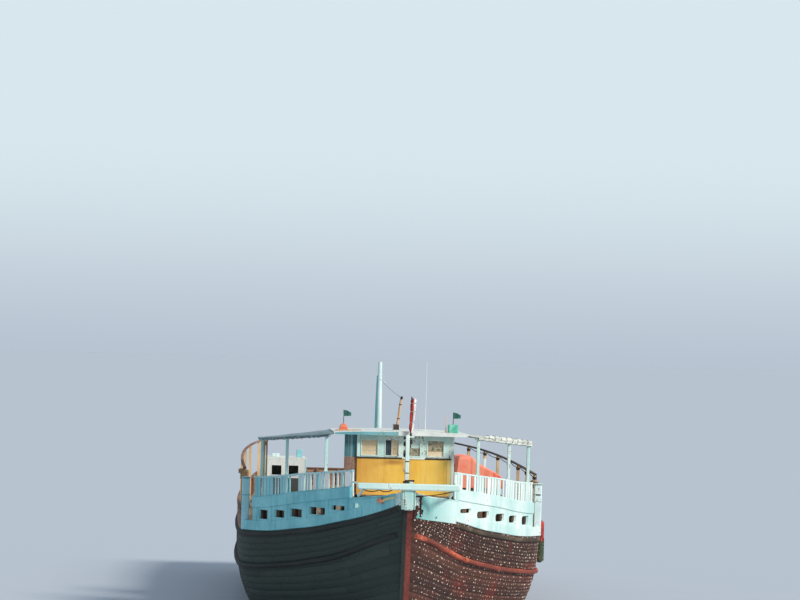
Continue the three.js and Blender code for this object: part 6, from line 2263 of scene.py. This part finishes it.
# Painted light: the port colours are the mast paint's sunlit copy; the second colour, dark teal, is painted
# shade on the thin pole beside the mast.
MAST_PAINT = painted(
    "mast_paint", tint(176, 218, 222), tint(214, 238, 238), port=(tint(204, 234, 234), tint(236, 248, 246)),
    second=tint(74, 156, 164), chipped=0.68,
)

t, foot, reach, rise = MAST["t"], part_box("mast")[0].z, MAST["step"], MAST["rise"]
pole, step, iron = Shape(), Shape(), Shape()
share = np.linspace(0, 1, 26)
path = [(t, 0.006 * math.sin(5 * u), foot + (MAST["top"] - foot) * u) for u in share]
pole.tube(path, [MAST["foot"] + (MAST["head"] - MAST["foot"]) * u for u in share], 24)
path = [(t - 0.03, -0.14, 5.6), (t - 0.03, -0.12, 7.2), (t - 0.03, -0.1, 8.25)]
pole.tube(path, [0.03, 0.028, 0.018], 12, 1)
pole.box((t - 0.03, t + 0.03), (-0.03, 0.23), (7.98, 8.02), 0.01, 0.2)
pole.piece("mast_pole", MAST_PAINT, replaces=["mast"])
for side in (1, -1):
    step.box((t - reach, t + reach), (side * 0.135, side * reach), (foot, foot + rise), 0.015, 0.2)
    step.box((t + side * 0.14, t + side * reach), (-0.134, 0.134), (foot, foot + rise - 0.01), 0.015, -0.2)
step.piece("mast_step", BULWARK_WOOD)
for z in MAST["bands"]:
    radius = MAST["foot"] + (MAST["head"] - MAST["foot"]) * (z - foot) / (MAST["top"] - foot) + 0.005
    iron.upright(t, 0, (z, z + 0.02, z + 0.04), radius, 24)
iron.piece("mast_bands", IRON)
stay = Ropes().sag((t - 0.08, 0.0, 8.12), (GEAR_T + 0.03, SPAR["tip_y"] - 0.01, SPAR["tip"] - 0.05), 0.04)
stay.piece("mast_stay", 0.006, TARRED_ROPE, step=0.2)


# At the bow: a small anchor hung from a pin beside the stem head, a moulded float and its line tied
# outside the starboard bulwark, and old rope strung under the cross beam.
ANCHOR = {"t": 0.12, "y": 0.4, "top": 4.52, "bottom": 3.88}
FLUKES = ((-0.17, 0.0, 4.04), (-0.03, 0.06, 4.06))  # reach of each along t and y, height of its tip
BALL = {"radius": 0.048, "z": 3.925}
BOW_FLOAT = (Vector((0.78, -0.77, 4.3)), Vector((1.02, -0.93, 4.34)))

t, y, top, bottom = (ANCHOR[key] for key in ("t", "y", "top", "bottom"))
anchor = Shape().tube([(t, HEAD["half"] + 0.001, top), (t, 0.35, top), (t, y + 0.075, top)], 0.024, 12)
anchor.upright(t, y, (bottom, 4.05, 4.3, top + 0.02), [0.036, 0.034, 0.03, 0.038])
for out_t, out_y, tip in FLUKES:
    arm = [(t, y, bottom + 0.02), (t + out_t * 0.6, y + out_y * 0.6, 3.9), (t + out_t, y + out_y, tip)]
    anchor.tube(arm, [0.035, 0.028, 0.014])
    fluke = (t + out_t * 0.92, y + out_y * 0.92, tip - 0.03)
    anchor.beam(fluke, (fluke[0] + 0.02, fluke[1], fluke[2] + 0.08), 0.07, 0.012, 0.003)
for k in range(6):
    a, b, c = t, y + 0.03 * math.sin(k * 1.9), 4.5 - 0.05 * k
    wide_t, wide_y = 0.03 * (k % 2), 0.03 * (1 - k % 2)
    turns = np.linspace(0, 2 * math.pi, 10)
    link = [(a + wide_t * math.cos(w), b + wide_y * math.cos(w), c + 0.04 * math.sin(w)) for w in turns]
    anchor.tube(link, 0.009, 6)
anchor.piece("anchor_iron", IRON, replaces=["anchor"])
turns = np.linspace(0.05, 0.95, 9) * math.pi
heights = [BALL["z"] - BALL["radius"] * math.cos(a) for a in turns]
ball = Shape().upright(t - 0.02, y + 0.01, heights, [BALL["radius"] * math.sin(a) for a in turns], 14)
ball.piece("anchor_buoy", WHITE)
path = [BOW_FLOAT[0].lerp(BOW_FLOAT[1], float(u)) for u in np.linspace(0, 1, 13)]
radii = [0.075 * max(0.2, math.sin(math.pi * u) ** 0.35) for u in np.linspace(0.03, 0.97, 13)]
Shape().tube(path, radii, 16).piece("bow_float", ORANGE)
path = [(0.8, -0.78, 4.33), (0.66, -0.66, 4.4), (0.5, -0.5, 4.44), (0.36, -0.4, 4.47)]
Shape().tube(path, [0.034, 0.032, 0.028, 0.02], 12, 0.8).piece("bow_float_handle", YELLOW)
tied = Ropes().run([(0.84, -0.8, 4.37), (0.88, -0.79, 4.46), (0.92, -0.74, 4.5)])
tied.piece("bow_float_line", 0.017, MANILA)
strung = Ropes()
strung.sag((-0.05, -1.52, 4.76), (-0.02, -0.95, 4.72), 0.08)
strung.sag((-0.02, -0.95, 4.72), (-0.05, -0.5, 4.74), 0.07)
strung.sag((0.1, 0.3, 4.55), (0.06, 1.45, 4.72), 0.05)
strung.turns((0.05, -0.06, 4.955), (0.1, 0.12), 2, 0.02)
strung.piece("bow_ropes", 0.02, TARRED_ROPE)


# Fender: a long stuffed bag hung from the port bulwark, red above and green below, in a net of cord.
FENDER = {"t": 11.0, "y": 5.456, "low": 1.8, "top": 3.3, "thin": 0.138, "thick": 0.147}
NET = {"cords": 8, "twist": 2.6, "long": 0.82}


def fender_finish():
    finish = Finish("fender_skin", "fender_skin", 0.8)
    grime = finish.noise(6, detail=5)
    knit = finish.noise(60, (1, 1, 0.4), 2)
    height = finish.part("Z") + (grime - 0.5) * 0.3
    red = finish.blend(tint(190, 62, 48), tint(118, 56, 48), finish.between(grime, 0.45, 0.62))
    green = finish.blend(tint(66, 88, 60), tint(96, 104, 78), finish.between(grime, 0.42, 0.62))
    colour = finish.blend(green, red, finish.between(height, 2.5, 2.62))
    return finish.surface(colour, 0.7 + grime * 0.25, knit * 0.5 + grime, 0.006)


t, y, low, top = (FENDER[key] for key in ("t", "y", "low", "top"))
rings = []
for s in np.linspace(0, 1, 44):
    z = low + (top - low) * s
    size = FENDER["thin"] + (FENDER["thick"] - FENDER["thin"]) * s
    size *= min(1, 0.3 + 0.7 * math.sqrt(min(1, min(s, 1 - s) / 0.07)))
    ring = []
    for a in around(28):
        swell = 1 + 0.07 * rumple(2 * math.cos(a), 2 * math.sin(a), z * 2.4)
        ring.append((t + size * swell * math.cos(a), y + size * swell * math.sin(a), z))
    rings.append(ring)
bag = Shape().loft(rings).piece("fender_bag", fender_finish(), replaces=["fender"], crease=60)
net, sling = Ropes(), Ropes()
size = FENDER["thin"] + 0.012
for k in range(NET["cords"]):
    for way in (1, -1):
        path = []
        for s in np.linspace(0, 1, 34):
            a = k * 2 * math.pi / NET["cords"] + way * s * NET["twist"]
            path.append((t + size * math.cos(a), y + size * math.sin(a), low + 0.06 + NET["long"] * s))
        net.run(path)
net.piece("fender_net", 0.007, TARRED_ROPE)
cap, edge = sheer(t) + WAIST["rise"] + 0.02, breadth(t)
over = (t, edge + 0.055, cap - 0.01)
sling.run([(t, y, 3.24), (t, y - 0.02, 3.34), (t, edge + 0.1, 3.48), over])
sling.run([over, (t, edge + 0.02, cap + 0.016), (t, edge - 0.14, cap + 0.016), (t, edge - 0.15, cap - 0.2)])
sling.piece("fender_sling", 0.02, TARRED_ROPE)


# Screw, shaft and stern tube: cast bronze under the counter, dull, with green where it has weathered.
def bronze_finish():
    finish = Finish("bronze", "bronze", 0.4)
    green = finish.between(finish.noise(5, detail=5), 0.46, 0.66)
    colour = finish.blend(tint(150, 110, 62), tint(84, 124, 104), green * 0.7)
    finish.set("Metallic", 0.95 - green * 0.6)
    return finish.surface(colour, 0.35 + green * 0.4, green, 0.002)


dress(bronze_finish(), "propeller", "propeller_shaft", "stern_tube")
